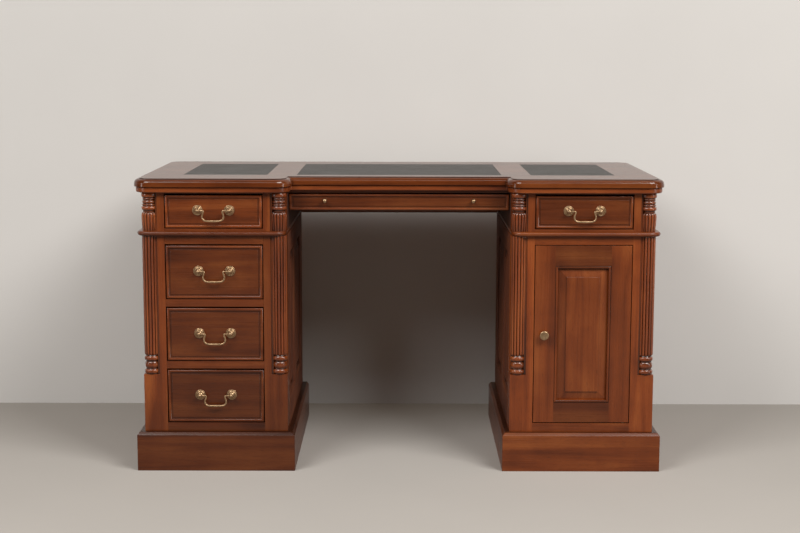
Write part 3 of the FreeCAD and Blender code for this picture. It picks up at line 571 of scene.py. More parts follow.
frontTones = {  # what fills the opening, then the tones of foot rail, post feet, left post and right post; foot rail and post feet are painted shade near the plinth
    "left": ("left_lower_drawer_front", 0.72, 0.66, 1.15, 0.82),
    "right": ("door_frame", 0.82, 0.92, 1.0, 1.0),
}
for side, (nodeName, railTone, footShade, leftTone, rightTone) in frontTones.items():
    low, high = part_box(nodeName)
    frontWood = bpy.data.objects[side + "FrontFrameWood"]
    foot = min(vertex.co.z for vertex in frontWood.data.vertices) + frontSet["footHeight"]
    retoneFaces(frontWood, lambda polygon: polygon.center.z < low[2] and low[0] < polygon.center.x < high[0],
               railTone)
    retone(frontWood, lambda place: place.z < foot, footShade)
    retoneFaces(frontWood, lambda polygon: polygon.center.x < low[0], leftTone)
    retoneFaces(frontWood, lambda polygon: polygon.center.x > high[0], rightTone)

sideSet = {"stickingDepth": 0.0007, "stickingShade": 0.45, "kneeReach": 0.05, "kneeRough": 0.37,
           "kneeFriezeShade": 0.25, "plinthTopShade": 0.25, "plinthChamferShade": 0.72}
for side in ("left", "right"):
    frameWood = bpy.data.objects[side + "SideFramesWood"]
    across = [vertex.co.x for vertex in frameWood.data.vertices]
    ends = (min(across), max(across))
    # painted shade on everything set back from the frames' outer faces, the sticking among it
    retone(frameWood, lambda place: min(place.x - ends[0], ends[1] - place.x) > sideSet["stickingDepth"],
          sideSet["stickingShade"])
    kneeEdge = min(abs(x) for x in ends) + sideSet["kneeReach"]

    def inKnee(polygon):
        return abs(polygon.normal.x) > 0.3 and abs(polygon.center.x) < kneeEdge

    for part in ("SideFramesWood", "SidePanelsWood", "FriezeFrameWood"):  # dull inside the kneehole
        finishFaces(bpy.data.objects[side + part], "roughening",
                    lambda polygon: sideSet["kneeRough"] if inKnee(polygon) else 0.0)
    # painted shade on the frieze's faces inside the kneehole
    retoneFaces(bpy.data.objects[side + "FriezeFrameWood"], inKnee, sideSet["kneeFriezeShade"])
    plinthWood = bpy.data.objects[side + "PlinthWood"]  # painted shade where the pedestal stands on its plinth, and on the plinth's chamfer that looks up
    retoneFaces(plinthWood, lambda polygon: polygon.normal.z > 0.9, sideSet["plinthTopShade"])
    retoneFaces(plinthWood, lambda polygon: 0.3 < polygon.normal.z < 0.9, sideSet["plinthChamferShade"])
print("desk: boards done")


# Shaping helpers; those that choose or cut work in edit mode

def choose(piece, kind, test):
    bpy.ops.mesh.select_mode(type=kind)
    bpy.ops.mesh.select_all(action="DESELECT")
    shape = bmesh.from_edit_mesh(piece.data)
    for item in shape.faces if kind == "FACE" else shape.edges:
        if test(item):
            item.select_set(True)
    bmesh.update_edit_mesh(piece.data)


def chooseFaces(piece, test):
    choose(piece, "FACE", test)


def chooseEdges(piece, test):  # the test takes the places of both ends
    choose(piece, "EDGE", lambda edge: test(*[vertex.co for vertex in edge.verts]))


def looksForward(polygon):
    return polygon.normal.y < -0.9


def inPlane(axis, level):  # test for edges that lie in one plane
    return lambda a, b: abs(a[axis] - level) < closeBy and abs(b[axis] - level) < closeBy


def onRim(a, b, low, high, axes):  # along one of the outer sides of a box
    return any(inPlane(axis, corner[axis])(a, b) for axis in axes for corner in (low, high))


def isStraight(a, b):  # upright or level, so not a mitre
    return abs(a.x - b.x) < closeBy or abs(a.z - b.z) < closeBy


def inset(width, depth=0.0):
    bpy.ops.mesh.inset(thickness=width, depth=depth, use_even_offset=True)


def extrude(*offset):
    bpy.ops.mesh.extrude_region_move(TRANSFORM_OT_translate={"value": offset})


def bevel(width, segments):
    bpy.ops.mesh.bevel(offset=width, segments=segments, affect="EDGES")


def outwardNormals():
    selectAll()
    bpy.ops.mesh.normals_make_consistent(inside=False)


def blockAt(name, low, high):
    clearSelection()
    bpy.ops.mesh.primitive_cube_add(size=1, location=[(a + b) / 2 for a, b in zip(low, high)])
    piece = bpy.context.object
    piece.name = name
    piece.scale = [b - a for a, b in zip(low, high)]
    bpy.ops.object.transform_apply(location=True, rotation=True, scale=True)
    return piece


def turned(name, outline, axis, steps=40, rounding=1):  # outline of (radius, reach) along the axis
    mesh = bpy.data.meshes.new(name)
    along = Vector(axis)
    across = Vector((1, 0, 0))
    mesh.from_pydata([along * reach + across * radius for radius, reach in outline],
                     [(index, index + 1) for index in range(len(outline) - 1)], [])
    piece = newPiece(name, mesh)
    editMode()
    selectAll()
    bpy.ops.mesh.spin(steps=steps, angle=2 * math.pi, center=(0, 0, 0), axis=axis)
    selectAll()
    bpy.ops.mesh.remove_doubles(threshold=1e-6)
    bpy.ops.mesh.normals_make_consistent(inside=False)
    objectMode()
    if rounding:
        smooth = piece.modifiers.new("rounding", "SUBSURF")
        smooth.levels = smooth.render_levels = rounding
        bpy.ops.object.modifier_apply(modifier=smooth.name)
    return piece


def torus(low, high, neck, crest, points=7):  # half-round ring between two heights
    rows = []
    for step in range(points + 1):
        turn = math.pi * step / points
        rise = (low + high) / 2 - (high - low) / 2 * math.cos(turn)
        rows.append((neck + (crest - neck) * math.sin(turn), rise))
    return rows


def inMetres(rows):
    return [tuple(value / 1000 for value in row) for row in rows]


def moveTo(piece, place):
    piece.location = place
    bpy.ops.object.transform_apply(location=True, rotation=False, scale=False)


def copyTo(piece, name, place):
    twin = newPiece(name, piece.data.copy())
    moveTo(twin, place)
    return twin


def joined(name, parts):
    clearSelection()
    for part in parts:
        part.select_set(True)
    bpy.context.view_layer.objects.active = parts[0]
    bpy.ops.object.join()
    parts[0].name = name
    return parts[0]


# Top board: the CAD board with a flat band and a fine arris under its ovolo

topSet = {"underRound": 0.006, "band": 0.0084, "arris": 0.0007, "proud": 0.0006, "rim": 0.002, "tone": 0.60,
          "play": 0.03, "rimTone": 0.3, "bandTone": 1.3, "flat": 0.98, "edgeRough": -0.15}

low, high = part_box("desk_top")
cut = low[2] + topSet["underRound"]
bandHead = low[2] + topSet["band"]
deskTop = newPiece("deskTopWood", frame["nodes"]["desk_top"].data.copy())
weldBoards(deskTop)
editMode()
selectAll()
bpy.ops.mesh.bisect(plane_co=(0, 0, cut), plane_no=(0, 0, 1), clear_inner=True)
chooseEdges(deskTop, inPlane(2, cut))
extrude(0, 0, -topSet["underRound"])
bpy.ops.mesh.edge_face_add()
outwardNormals()
chooseFaces(deskTop, lambda polygon: polygon.normal.z < -0.9)
bpy.ops.mesh.duplicate()  # the underside is the outline that the bead below follows
bpy.ops.mesh.separate(type="SELECTED")
chooseFaces(deskTop, lambda polygon: abs(polygon.normal.z) < 0.05
            and polygon.calc_center_median().z < bandHead)
inset(topSet["arris"], topSet["proud"])
objectMode()
evenShading(deskTop)
layGrain(deskTop, "deskTopWood", 0, topSet["tone"], topSet["play"])
rimFoot = high[2] - topSet["rim"] - closeBy
# painted shadow: a dark line on the rim wall just under the flat's edge
retoneFaces(deskTop, lambda polygon: abs(polygon.normal.z) < 0.3 and polygon.center.z > rimFoot,
           topSet["rimTone"])
retoneFaces(deskTop, lambda polygon: abs(polygon.normal.z) < 0.3 and polygon.center.z < rimFoot,
           topSet["bandTone"])
finishFaces(deskTop, "polish", lambda polygon: 1.0 if polygon.normal.z > topSet["flat"] else 0.0)
finishFaces(deskTop, "roughening",
            lambda polygon: 0.0 if polygon.normal.z > topSet["flat"] else topSet["edgeRough"])
seat(deskTop, "desk_top", mahogany)
print("desk: top board done")

# the bead's tone is painted light, lifting the shade that the top's overhang casts on it
edgeBeadSet = {"setback": 0.004, "width": 0.034, "height": 0.015, "round": 0.0034, "endStrip": 0.05,
               "tone": 1.42, "play": 0.02}

edgeBead = [piece for piece in scene.objects if piece.name.startswith("deskTopWood.")][0]
edgeBead.name = "topEdgeBeadWood"
edgeBead.data.attributes.remove(edgeBead.data.attributes["board"])
pick(edgeBead)
editMode()
chooseFaces(edgeBead, lambda polygon: True)
inset(edgeBeadSet["setback"])
bpy.ops.mesh.select_all(action="INVERT")
bpy.ops.mesh.delete(type="FACE")
chooseFaces(edgeBead, lambda polygon: True)
inset(edgeBeadSet["width"])
bpy.ops.mesh.delete(type="FACE")
selectAll()
extrude(0, 0, -edgeBeadSet["height"])
outwardNormals()
objectMode()
softenEdges(edgeBead, edgeBeadSet["round"], 4)


def stripOf(polygon):  # the two end strips have their own grain
    x, y = polygon.center.x, polygon.center.y
    if abs(x) > high[0] - edgeBeadSet["endStrip"] and abs(y) < high[1] - edgeBeadSet["endStrip"]:
        return 2 if x > 0 else 1
    return 0


numberBoards(edgeBead, [stripOf(polygon) for polygon in edgeBead.data.polygons])
evenShading(edgeBead)
layGrain(edgeBead, "topEdgeBeadWood", None, edgeBeadSet["tone"], edgeBeadSet["play"])
seat(edgeBead, "top_edge_bead", mahogany)
print("desk: edge bead done")


# Drawer faces with a rounded bead and a quirk inside it

drawerFaceSet = {"bead": 0.0076, "round": 0.0031, "quirk": 0.0036, "quirkDepth": 0.0034, "fieldRise": 0.0014,
                 "arris": 0.0005, "tone": 0.72, "play": 0.02, "beadSheenAndWear": 1.4, "gapShade": 0.3,
                 "topGap": 0.0018, "sideGap": 0.0004}
skin = 1e-4  # what lies this near to a side belongs to it


def within(place, low, high, margin):  # seen from the front
    return low[0] + margin < place.x < high[0] - margin and low[2] + margin < place.z < high[2] - margin


def drawerFace(name, nodeName, seedTone):
    low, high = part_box(nodeName)
    low = (low[0] + drawerFaceSet["sideGap"], low[1], low[2])
    high = (high[0] - drawerFaceSet["sideGap"], high[1], high[2] - drawerFaceSet["topGap"])
    front = low[1]
    inFront = inPlane(1, front)
    piece = blockAt(name, low, high)
    editMode()
    chooseFaces(piece, looksForward)
    inset(drawerFaceSet["bead"])
    extrude(0, drawerFaceSet["quirkDepth"], 0)
    inset(drawerFaceSet["quirk"])
    extrude(0, -drawerFaceSet["fieldRise"], 0)
    chooseEdges(piece, lambda a, b: inFront(a, b) and isStraight(a, b))
    bevel(drawerFaceSet["round"], 4)
    chooseEdges(piece, inPlane(1, front + drawerFaceSet["quirkDepth"] - drawerFaceSet["fieldRise"]))
    bevel(drawerFaceSet["arris"], 2)
    objectMode()
    evenShading(piece, creases["drawer"])
    layGrain(piece, name, 0, drawerFaceSet["tone"] * seedTone, drawerFaceSet["play"])
    beadBack = front + drawerFaceSet["round"]
    rim = drawerFaceSet["bead"] - drawerFaceSet["round"] / 2
    retone(piece, lambda place: place.y < beadBack and not within(place, low, high, rim),  # bead painted paler: painted sheen, and rubbed wear
          drawerFaceSet["beadSheenAndWear"])
    # painted shade on the drawer face's edges in the gaps
    retone(piece, lambda place: place.y > beadBack - closeBy and not within(place, low, high, skin),
          drawerFaceSet["gapShade"])
    seat(piece, nodeName, mahogany)


faceTones = {"left_top": 1.40, "left_upper": 0.98, "left_middle": 0.92, "left_lower": 0.78, "right_top": 1.06,
             "centre": 0.95}
for name, seedTone in faceTones.items():
    drawerFace(camel(name) + "DrawerFace", name + "_drawer_front", seedTone)
print("desk: drawer faces done")


# Cupboard door: frame with a rounded sticking, fielded panel with a step round its field

doorSet = {"stile": 0.061, "sticking": 0.0074, "quirk": 0.0012, "quirkDepth": 0.0016, "round": 0.0026,
           "arris": 0.0007, "tone": 1.17, "play": 0.02, "railTone": 0.58, "edgeDepth": 0.003,
           "gapShade": 0.35}

low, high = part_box("door_frame")
front = low[1]
inFront = inPlane(1, front)
innerLow, innerHigh = (tuple(corner[axis] + side * doorSet["stile"] for axis in range(3))
                       for corner, side in ((low, 1), (high, -1)))
doorFrame = blockAt("doorFrameWood", low, high)
editMode()
chooseFaces(doorFrame, lambda polygon: polygon.normal.y > 0.9)
inset(doorSet["stile"])
bpy.ops.mesh.delete(type="FACE")  # the inner face stays selected after the inset
chooseFaces(doorFrame, looksForward)
inset(doorSet["stile"] - doorSet["sticking"])
extrude(0, doorSet["quirkDepth"], 0)
inset(doorSet["quirk"])
extrude(0, -doorSet["quirkDepth"], 0)
inset(doorSet["sticking"] - doorSet["quirk"])
bpy.ops.mesh.delete(type="FACE")
chooseEdges(doorFrame, lambda *ends: all(within(place, innerLow, innerHigh, -closeBy) for place in ends))
bpy.ops.mesh.bridge_edge_loops()
beadOut = doorSet["sticking"] - doorSet["quirk"] + closeBy
chooseEdges(doorFrame, lambda a, b: isStraight(a, b) and inFront(a, b) and all(
    within(place, innerLow, innerHigh, -beadOut) for place in (a, b)))
bevel(doorSet["round"], 4)
chooseEdges(doorFrame, lambda a, b: inFront(a, b) and onRim(a, b, low, high, (0, 2)))
bevel(doorSet["arris"], 2)
boardReach = doorSet["sticking"] + skin
for x in (innerLow[0] - boardReach, innerHigh[0] + boardReach):  # rails butt against the stiles
    selectAll()
    bpy.ops.mesh.bisect(plane_co=(x, 0, 0), plane_no=(1, 0, 0))
outwardNormals()
objectMode()
evenShading(doorFrame)


def doorBoard(place):  # left stile, right stile, bottom rail, top rail
    betweenStiles = innerLow[0] - boardReach < place.x < innerHigh[0] + boardReach
    if innerLow[2] < place.z < innerHigh[2] or not betweenStiles:
        return 0 if place.x < (low[0] + high[0]) / 2 else 1
    return 2 if place.z < innerLow[2] + skin else 3


doorBoards = [doorBoard(polygon.center) for polygon in doorFrame.data.polygons]
numberBoards(doorFrame, doorBoards)
layGrain(doorFrame, "doorFrame", None, doorSet["tone"], doorSet["play"])
retoneFaces(doorFrame, lambda polygon: doorBoards[polygon.index] > 1, doorSet["railTone"])
# painted shade on the door's edges in the gap
retone(doorFrame, lambda place: place.y > front + doorSet["edgeDepth"] and not within(place, low, high, skin),
      doorSet["gapShade"])
seat(doorFrame, "door_frame", mahogany)

panelSet = {"tongue": 0.0064, "bevel": 0.023, "tongueFront": 0.009, "rise": 0.0053, "step": 0.0022,
            "arris": 0.0006, "tone": 1.08, "play": 0.02, "leftTone": 0.84, "bevelPolish": 2.0}

low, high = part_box("door_panel")
tongueFace = front + panelSet["tongueFront"]
doorPanel = blockAt("doorPanelWood", (low[0], tongueFace, low[2]), high)
editMode()
chooseFaces(doorPanel, looksForward)
inset(panelSet["tongue"])
inset(panelSet["bevel"])
bpy.ops.transform.translate(value=(0, -panelSet["rise"], 0))
extrude(0, -panelSet["step"], 0)
chooseEdges(doorPanel, inPlane(1, tongueFace - panelSet["rise"] - panelSet["step"]))
bevel(panelSet["arris"], 2)
objectMode()
evenShading(doorPanel, creases["fielded"])
layGrain(doorPanel, "doorPanel", 2, panelSet["tone"], panelSet["play"])
# painted shade on the bevel that looks left, away from the stronger light
retoneFaces(doorPanel, lambda polygon: -0.9 < polygon.normal.x < -0.1, panelSet["leftTone"])
finishFaces(doorPanel, "polish",  # the bevel that looks up
            lambda polygon: panelSet["bevelPolish"] if polygon.normal.z > 0.1 else 0.0)
seat(doorPanel, "door_panel", mahogany)
print("desk: cupboard door done")


# Reeded columns

reedSet = {"count": 14, "phases": (-1.0, -0.86, -0.62, -0.32, 0.0, 0.32, 0.62, 0.86)}


def bearing(vertex):
    return round(math.atan2(vertex.co.y, vertex.co.x) % (2 * math.pi), 5)


def numberSpokes(shape):
    layer = shape.verts.layers.int.new("spoke")
    for spoke, vertex in enumerate(sorted(shape.verts, key=bearing)):
        vertex[layer] = spoke


def reededShaft(name, levels):  # levels of (height, valley radius, crest radius)
    steps = len(reedSet["phases"])
    spokes = steps * reedSet["count"]
    clearSelection()
    bpy.ops.mesh.primitive_circle_add(vertices=spokes, radius=levels[0][2], location=(0, 0, 0))
    piece = bpy.context.object
    piece.name = name
    editMode()
    for index, (height, valley, crest) in enumerate(levels):
        if index:
            extrude(0, 0, height - levels[index - 1][0])
        shape = bmesh.from_edit_mesh(piece.data)
        if not index:
            numberSpokes(shape)
        layer = shape.verts.layers.int["spoke"]
        for vertex in shape.verts:
            if vertex.select:
                reed, phase = divmod(vertex[layer], steps)
                turn = reedSet["phases"][phase]
                angle = (reed + (turn + 1) / 2) * 2 * math.pi / reedSet["count"]
                radius = valley + (crest - valley) * math.sqrt(max(0.0, 1 - turn * turn))
                vertex.co = (radius * math.cos(angle), radius * math.sin(angle), height)
        bmesh.update_edit_mesh(piece.data)
    selectAll()
    bpy.ops.mesh.fill_holes(sides=0)  # both ends closed
    bpy.ops.mesh.normals_make_consistent(inside=False)
    objectMode()
    return piece


upperColumnSet = {  # heights in mm above the waist board, radii in mm
    "reeds": [(0, 14.6, 18.5), (5, 14.8, 18.9), (15.5, 15.3, 19.7), (26, 15.8, 20.4), (34, 16.0, 20.8),
              (40, 16.0, 20.9), (44, 15.9, 20.5), (47, 15.7, 19.4), (49, 15.5, 17.8), (50, 15.4, 15.6)],
    "rings": [(0, 47.5), (16.6, 47.5), (16.6, 53.0), (17.6, 55.4), *torus(56.4, 65.4, 18.6, 21.0),
              (17.8, 66.0), (17.8, 66.8), *torus(67.4, 71.6, 18.0, 19.4, 5),
              (16.5, 72.2), *torus(72.8, 80.6, 16.4, 18.6),
              (16.3, 81.4), (16.3, 82.8), *torus(83.6, 87.4, 16.4, 17.9, 5), (16.6, 88.0), (17.2, 88.6),
              *torus(89.2, 101.4, 18.4, 21.0), (19.5, 102.0), (19.5, 102.5), (0, 102.5)],
    "necks": [(52.5, 56.2), (65.5, 67.3), (71.7, 72.7), (80.9, 83.5), (87.5, 89.0), (101.5, 103)],
}
lowerColumnSet = {  # heights in mm above the post block
    "reeds": [(50.4, 15.5, 15.6), (51.0, 15.5, 17.8), (52.4, 15.6, 19.1), (54.6, 15.7, 20.0),
              (58.0, 15.8, 20.5), (180.0, 15.8, 20.5), (300.0, 15.8, 20.5), (373.0, 15.8, 20.5)],
    "rings": [(0, 0), (18.2, 0), (18.2, 1.6), *torus(2.2, 13.6, 17.6, 20.9), (17.2, 14.2), (17.2, 16.4),
              *torus(17.0, 33.4, 17.0, 19.6), (17.2, 34.0), (17.2, 36.6), *torus(37.2, 49.2, 17.6, 20.9),
              (17.0, 49.8), (15.6, 56.0), (0, 56.0)],
    "necks": [(-1, 2), (13.7, 16.9), (33.5, 37.1), (49.3, 51.2)],
}
columnSet = {"bedGap": 0.0010, "bedWidth": 0.0050, "bedBehind": 0.0090, "hollow": 0.01625, "crest": 0.0194,
             "crestReach": 0.001, "valleyShade": 0.32, "neckTone": 0.35, "crestHighlight": 1.5, "play": 0.05,
             "polish": 1.2, "ringPolish": 3.4}


def columnPattern(name, pattern):
    shaft = reededShaft(name + "Reeds", inMetres(pattern["reeds"]))
    rings = turned(name + "Rings", inMetres(pattern["rings"]), (0, 0, 1), steps=56)
    return joined(name, [rings, shaft])


def columnPair(name, nodeName, pattern, necks):
    low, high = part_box(nodeName)
    radius = (high[1] - low[1]) / 2
    depth = (low[1] + high[1]) / 2
    places = [(x, depth, low[2]) for x in (low[0] + radius, high[0] - radius)]
    parts = [copyTo(pattern, name, place) for place in places]
    for side in (-1, 1):  # strip that beds the column against its post
        wall = (low[0] if side < 0 else high[0]) - side * (2 * radius + columnSet["bedGap"])
        ends = sorted((wall, wall + side * columnSet["bedWidth"]))
        bedFront = low[1] + columnSet["bedBehind"]
        parts.append(blockAt(name, (ends[0], bedFront, low[2]), (ends[1], depth, high[2])))
    pair = joined(name, parts)
    middle = (low[0] + high[0]) / 2
    numberBoards(pair, [0 if polygon.center.x < middle else 1 for polygon in pair.data.polygons])
    evenShading(pair, creases["column"])
    layGrain(pair, name, 2, 1.0, columnSet["play"])

    def outBy(place):
        return min(math.hypot(place.x - x, place.y - y) for x, y, z in places)

    def inNeck(place):
        return any(foot < (place.z - low[2]) * 1000 < head for foot, head in necks)

    # painted shade in the reed valleys and ring necks, and a painted highlight on the reed crests
    retone(pair, lambda place: outBy(place) < columnSet["hollow"], columnSet["valleyShade"])
    retone(pair, inNeck, columnSet["neckTone"])
    retone(pair, lambda place: columnSet["crest"] < outBy(place) < radius + columnSet["crestReach"],
          columnSet["crestHighlight"])
    finishFaces(pair, "polish",
                lambda polygon: columnSet["ringPolish"] if polygon.normal.z > 0.1 else columnSet["polish"])
    seat(pair, nodeName, mahogany)


upperPattern = columnPattern("upperColumn", upperColumnSet)
lowerPattern = columnPattern("lowerColumn", lowerColumnSet)
for side in ("left", "right"):
    columnPair(side + "UpperColumns", side + "_upper_columns", upperPattern, upperColumnSet["necks"])
    columnPair(side + "LowerColumns", side + "_lower_columns", lowerPattern, lowerColumnSet["necks"])
for pattern in (upperPattern, lowerPattern):
    bpy.data.objects.remove(pattern)
print("desk: columns done")


# Leather insets

leatherEdge = {"lip": 0.0012, "round": 0.0008}
for nodeName in ("leather_left", "leather_centre", "leather_right"):
    low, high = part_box(nodeName)
    piece = blockAt(camel(nodeName) + "Inset", low, high)
    editMode()
    chooseFaces(piece, lambda polygon: polygon.normal.z > 0.9)
    inset(leatherEdge["lip"])
    chooseEdges(piece, lambda a, b: inPlane(2, high[2])(a, b) and onRim(a, b, low, high, (0, 1)))
    bevel(leatherEdge["round"], 3)
    objectMode()
    evenShading(piece)
    seat(piece, nodeName, darkLeather)
print("desk: leathers done")


# Brass: rosettes with posts, bails and knobs

handleSet = {  # spacing, face and reach in metres, outlines in mm
    "spacing": 0.042, "face": -0.306, "reach": 0.014,
    "rosette": [(0, -0.3), (13.8, -0.3), (13.8, 0.7), (13.5, 1.3), (12.9, 1.7), (12.2, 1.7), (11.6, 1.2),
                (11.2, 1.1), (10.7, 1.6), (9.9, 2.7), (9.0, 3.4), (8.1, 3.5), (7.5, 3.1), (7.1, 3.0),
                (6.8, 3.6), (6.0, 4.8), (4.8, 5.8), (3.7, 6.6), (3.3, 8.0), (3.3, 9.6), (4.2, 10.4),
                (5.0, 12.2), (5.2, 14.0), (4.9, 15.9), (3.9, 17.6), (2.2, 18.8), (0, 19.2)],
    "nut": [(0, -23.9), (4.6, -23.9), (4.9, -23.6), (4.9, -21.0), (4.6, -20.6), (0, -20.6)],
    "bail": [(39.0, 0, 1.7), (33.0, 0, 1.7), (28.6, 0.1, 2.0), (25.0, 0.6, 2.3), (25.2, 5.0, 2.3),
             (27.2, 10.0, 2.3), (28.6, 15.5, 2.4), (27.6, 21.5, 2.5), (23.0, 26.2, 2.5), (15.5, 27.6, 2.7),
             (7.5, 27.8, 3.0), (0, 27.8, 3.1)],  # half of the wire: from the middle, drop and radius
}


def bailWire(name, rows):  # one smooth wire from post to post
    curve = bpy.data.curves.new(name, "CURVE")
    curve.dimensions = "3D"
    curve.bevel_depth = 0.001  # so that a point's radius counts in mm
    curve.bevel_resolution = 5
    curve.use_fill_caps = True
    spline = curve.splines.new("NURBS")
    path = [(-x, drop, radius) for x, drop, radius in rows] + rows[-2::-1]
    spline.points.add(len(path) - 1)
    for point, (x, drop, radius) in zip(spline.points, path):
        point.co = (x / 1000, 0, -drop / 1000, 1)
        point.radius = radius
    spline.order_u = 3
    spline.use_endpoint_u = True
    spline.resolution_u = 6
    newPiece(name, curve)
    bpy.ops.object.convert(target="MESH")
    return bpy.context.object


rosettePattern = turned("rosette", inMetres(handleSet["rosette"]), (0, -1, 0), steps=36)
nutPattern = turned("nut", inMetres(handleSet["nut"]), (0, -1, 0), steps=6, rounding=0)
postPattern = joined("post", [rosettePattern, nutPattern])
bailPattern = bailWire("bail", handleSet["bail"])
for name in drawerNames:
    low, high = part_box(name + "_handle_posts")
    middle, level = (low[0] + high[0]) / 2, (low[2] + high[2]) / 2
    posts = [copyTo(postPattern, name, (x, handleSet["face"], level))
             for x in (middle - handleSet["spacing"], middle + handleSet["spacing"])]
    posts = joined(camel(name) + "Rosettes", posts)
    evenShading(posts, creases["brass"])
    seat(posts, name + "_handle_posts", brass)
    bail = copyTo(bailPattern, camel(name) + "Bail", (middle, handleSet["face"] - handleSet["reach"], level))
    evenShading(bail, creases["brass"])
    seat(bail, name + "_bail", brass)
for pattern in (postPattern, bailPattern):
    bpy.data.objects.remove(pattern)

knobSet = {  # radius and reach in mm
    "door": [(0, -2.0), (9.0, -2.0), (9.0, 0.9), (8.6, 1.6), (7.4, 2.2), (5.9, 2.9), (5.2, 4.2), (5.3, 6.2),
             (6.4, 7.6), (9.4, 8.8), (11.6, 10.2), (12.4, 12.0), (12.5, 13.6), (12.2, 15.2), (11.5, 16.2),
             (10.4, 16.7), (7.5, 17.3), (3.5, 17.8), (0, 18.0)],
    "centre": [(0, -2.0), (5.0, -2.0), (5.0, 0.7), (4.4, 1.4), (3.3, 2.2), (3.0, 3.6), (3.6, 4.8), (5.2, 6.4),
               (6.3, 8.6), (6.5, 10.4), (6.1, 12.6), (4.9, 14.8), (2.9, 16.2), (0, 16.7)],
}
doorKnobReach, centreKnobReach = (knobSet[name][-1][1] / 1000 for name in ("door", "centre"))
low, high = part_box("door_knob")
doorKnob = turned("doorKnobBrass", inMetres(knobSet["door"]), (0, -1, 0), steps=40)
moveTo(doorKnob, ((low[0] + high[0]) / 2, low[1] + doorKnobReach, (low[2] + high[2]) / 2))
evenShading(doorKnob, creases["brass"])
seat(doorKnob, "door_knob", brass)
low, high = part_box("centre_drawer_knobs")
radius = (high[2] - low[2]) / 2
knobPattern = turned("centreKnob", inMetres(knobSet["centre"]), (0, -1, 0), steps=32)
centreKnobs = [copyTo(knobPattern, "centreKnob", (x, low[1] + centreKnobReach, (low[2] + high[2]) / 2))
               for x in (low[0] + radius, high[0] - radius)]
bpy.data.objects.remove(knobPattern)
centreKnobs = joined("centreDrawerKnobsBrass", centreKnobs)
evenShading(centreKnobs, creases["brass"])
seat(centreKnobs, "centre_drawer_knobs", brass)

pivotRoom = 0.00015  # the pins turn in their bushes
pivotPins = newPiece("doorPivotPinsBrass", frame["nodes"]["door_pivot_pins"].data.copy())
weldBoards(pivotPins)
editMode()
selectAll()
bpy.ops.transform.shrink_fatten(value=-pivotRoom)
objectMode()
evenShading(pivotPins)
seat(pivotPins, "door_pivot_pins", dullBrass)
for nodeName in ("shelf_pins", "door_pivot_bushes", "door_catch"):  # small hardware as it is
    node = frame["nodes"][nodeName]
    node.data.materials.clear()
    node.data.materials.append(dullBrass)
print("desk: brass done")


# Room: pale floor, and a pale wall that only cameras and reflections see from the front

roomSet = {"floor": (0.52, 0.501, 0.475), "wall": (0.700, 0.692, 0.680), "wallPlace": 0.455, "reach": 9.0,
           "cloud": 3, "play": 0.03, "roughness": 0.9, "shine": 0.1, "floorBounce": 0.25, "floorMirror": 0.6,
           "wallFootLight": 1.22, "wallFade": (0.1, 1.3)}


def roomPlane(name, colour):
    clearSelection()
    bpy.ops.mesh.primitive_plane_add(size=2 * roomSet["reach"])
    plane = bpy.context.object
    plane.name = name
    material, tree, shader = newMaterial(name)
    place = objectPlace(tree)
    cloud = noise(tree, place, scale=roomSet["cloud"], detail=3)
    darker, paler = ([(1 + side * roomSet["play"]) * part for part in colour] for side in (-1, 1))
    feed(tree, shader, Roughness=roomSet["roughness"], Specular_IOR_Level=roomSet["shine"])
    plane.data.materials.append(material)
    return plane, tree, shader, mixColours(tree, cloud, darker, paler)


tree, shader, tint = roomPlane("paleFloor", roomSet["floor"])[1:]
rays = addNode(tree, "ShaderNodeLightPath").outputs  # pale where it is seen or mirrored, darker as a bounce
seen = maths(tree, "MAXIMUM", rays["Is Camera Ray"], rays["Is Transmission Ray"])
seen = maths(tree, "MAXIMUM", seen, maths(tree, "MULTIPLY", rays["Is Glossy Ray"], roomSet["floorMirror"]))
level = maths(tree, "ADD", maths(tree, "MULTIPLY", seen, 1 - roomSet["floorBounce"]), roomSet["floorBounce"])
feed(tree, shader, Base_Color=scaled(tree, tint, level))

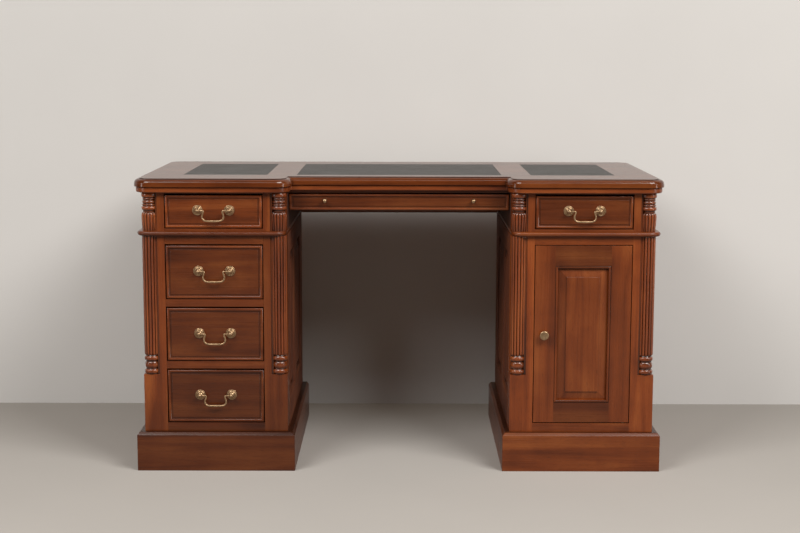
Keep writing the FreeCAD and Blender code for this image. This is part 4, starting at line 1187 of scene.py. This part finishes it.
wallPlane, tree, shader, tint = roomPlane("paleWall", roomSet["wall"])
wallPlane.rotation_euler = (math.radians(90), 0, 0)
wallPlane.location = (0, roomSet["wallPlace"], 0)
height = addNode(tree, "ShaderNodeSeparateXYZ")  # painted light: the wall is a little paler towards its foot, in place of bounce light from the floor
plug(tree, height.inputs[0], objectPlace(tree))
fade = spread(tree, height.outputs["Y"], *roomSet["wallFade"], roomSet["wallFootLight"], 1.0)
feed(tree, shader, Base_Color=scaled(tree, tint, fade))
rays = addNode(tree, "ShaderNodeLightPath").outputs
seen = maths(tree, "MAXIMUM", rays["Is Camera Ray"], rays["Is Transmission Ray"])
seen = maths(tree, "MAXIMUM", seen, rays["Is Glossy Ray"])
behind = addNode(tree, "ShaderNodeNewGeometry").outputs["Backfacing"]
wallMix = addNode(tree, "ShaderNodeMixShader")
plug(tree, wallMix.inputs[0], maths(tree, "MULTIPLY", seen, maths(tree, "SUBTRACT", 1.0, behind)))
plug(tree, wallMix.inputs[1], addNode(tree, "ShaderNodeBsdfTransparent").outputs[0])
plug(tree, wallMix.inputs[2], shader.outputs[0])
plug(tree, tree.nodes["Material Output"].inputs["Surface"], wallMix.outputs[0])

lightSet = {  # place, aim, size, watts
    "leftSoftbox": ((-2.3, -2.9, 3.6), (-0.1, -0.2, 0.45), (2.2, 2.2), 112),
    "rightSoftbox": ((2.5, -2.8, 3.7), (0.1, -0.2, 0.45), (2.2, 2.2), 160),
    "frontCard": ((0.3, -3.9, 4.3), (0.1, -0.3, 0.5), (2.8, 0.7), 24),
    "leftCard": ((-3.4, -1.8, 0.8), (-0.4, -0.3, 0.5), (0.4, 1.3), 9),
    "rightCard": ((3.4, -1.8, 0.8), (0.4, -0.3, 0.5), (0.4, 1.3), 11),
}
lampColour = (1.0, 0.97, 0.93)
for name, (place, aim, size, watts) in lightSet.items():
    lamp = bpy.data.lights.new(name, "AREA")
    lamp.shape = "RECTANGLE"
    lamp.size, lamp.size_y = size
    lamp.energy = watts
    lamp.color = lampColour
    holder = bpy.data.objects.new(name, lamp)
    scene.collection.objects.link(holder)
    holder.location = place
    holder.rotation_euler = (Vector(aim) - Vector(place)).to_track_quat("-Z", "Y").to_euler()

worldSet = {"colour": (1.0, 0.75, 0.54), "strength": 0.11}
world = bpy.data.worlds.new("paleRoom")
world.use_nodes = True
tree = world.node_tree
feed(tree, tree.nodes["Background"], Color=worldSet["colour"], Strength=worldSet["strength"])
scene.world = world
print("desk: room and lights done")
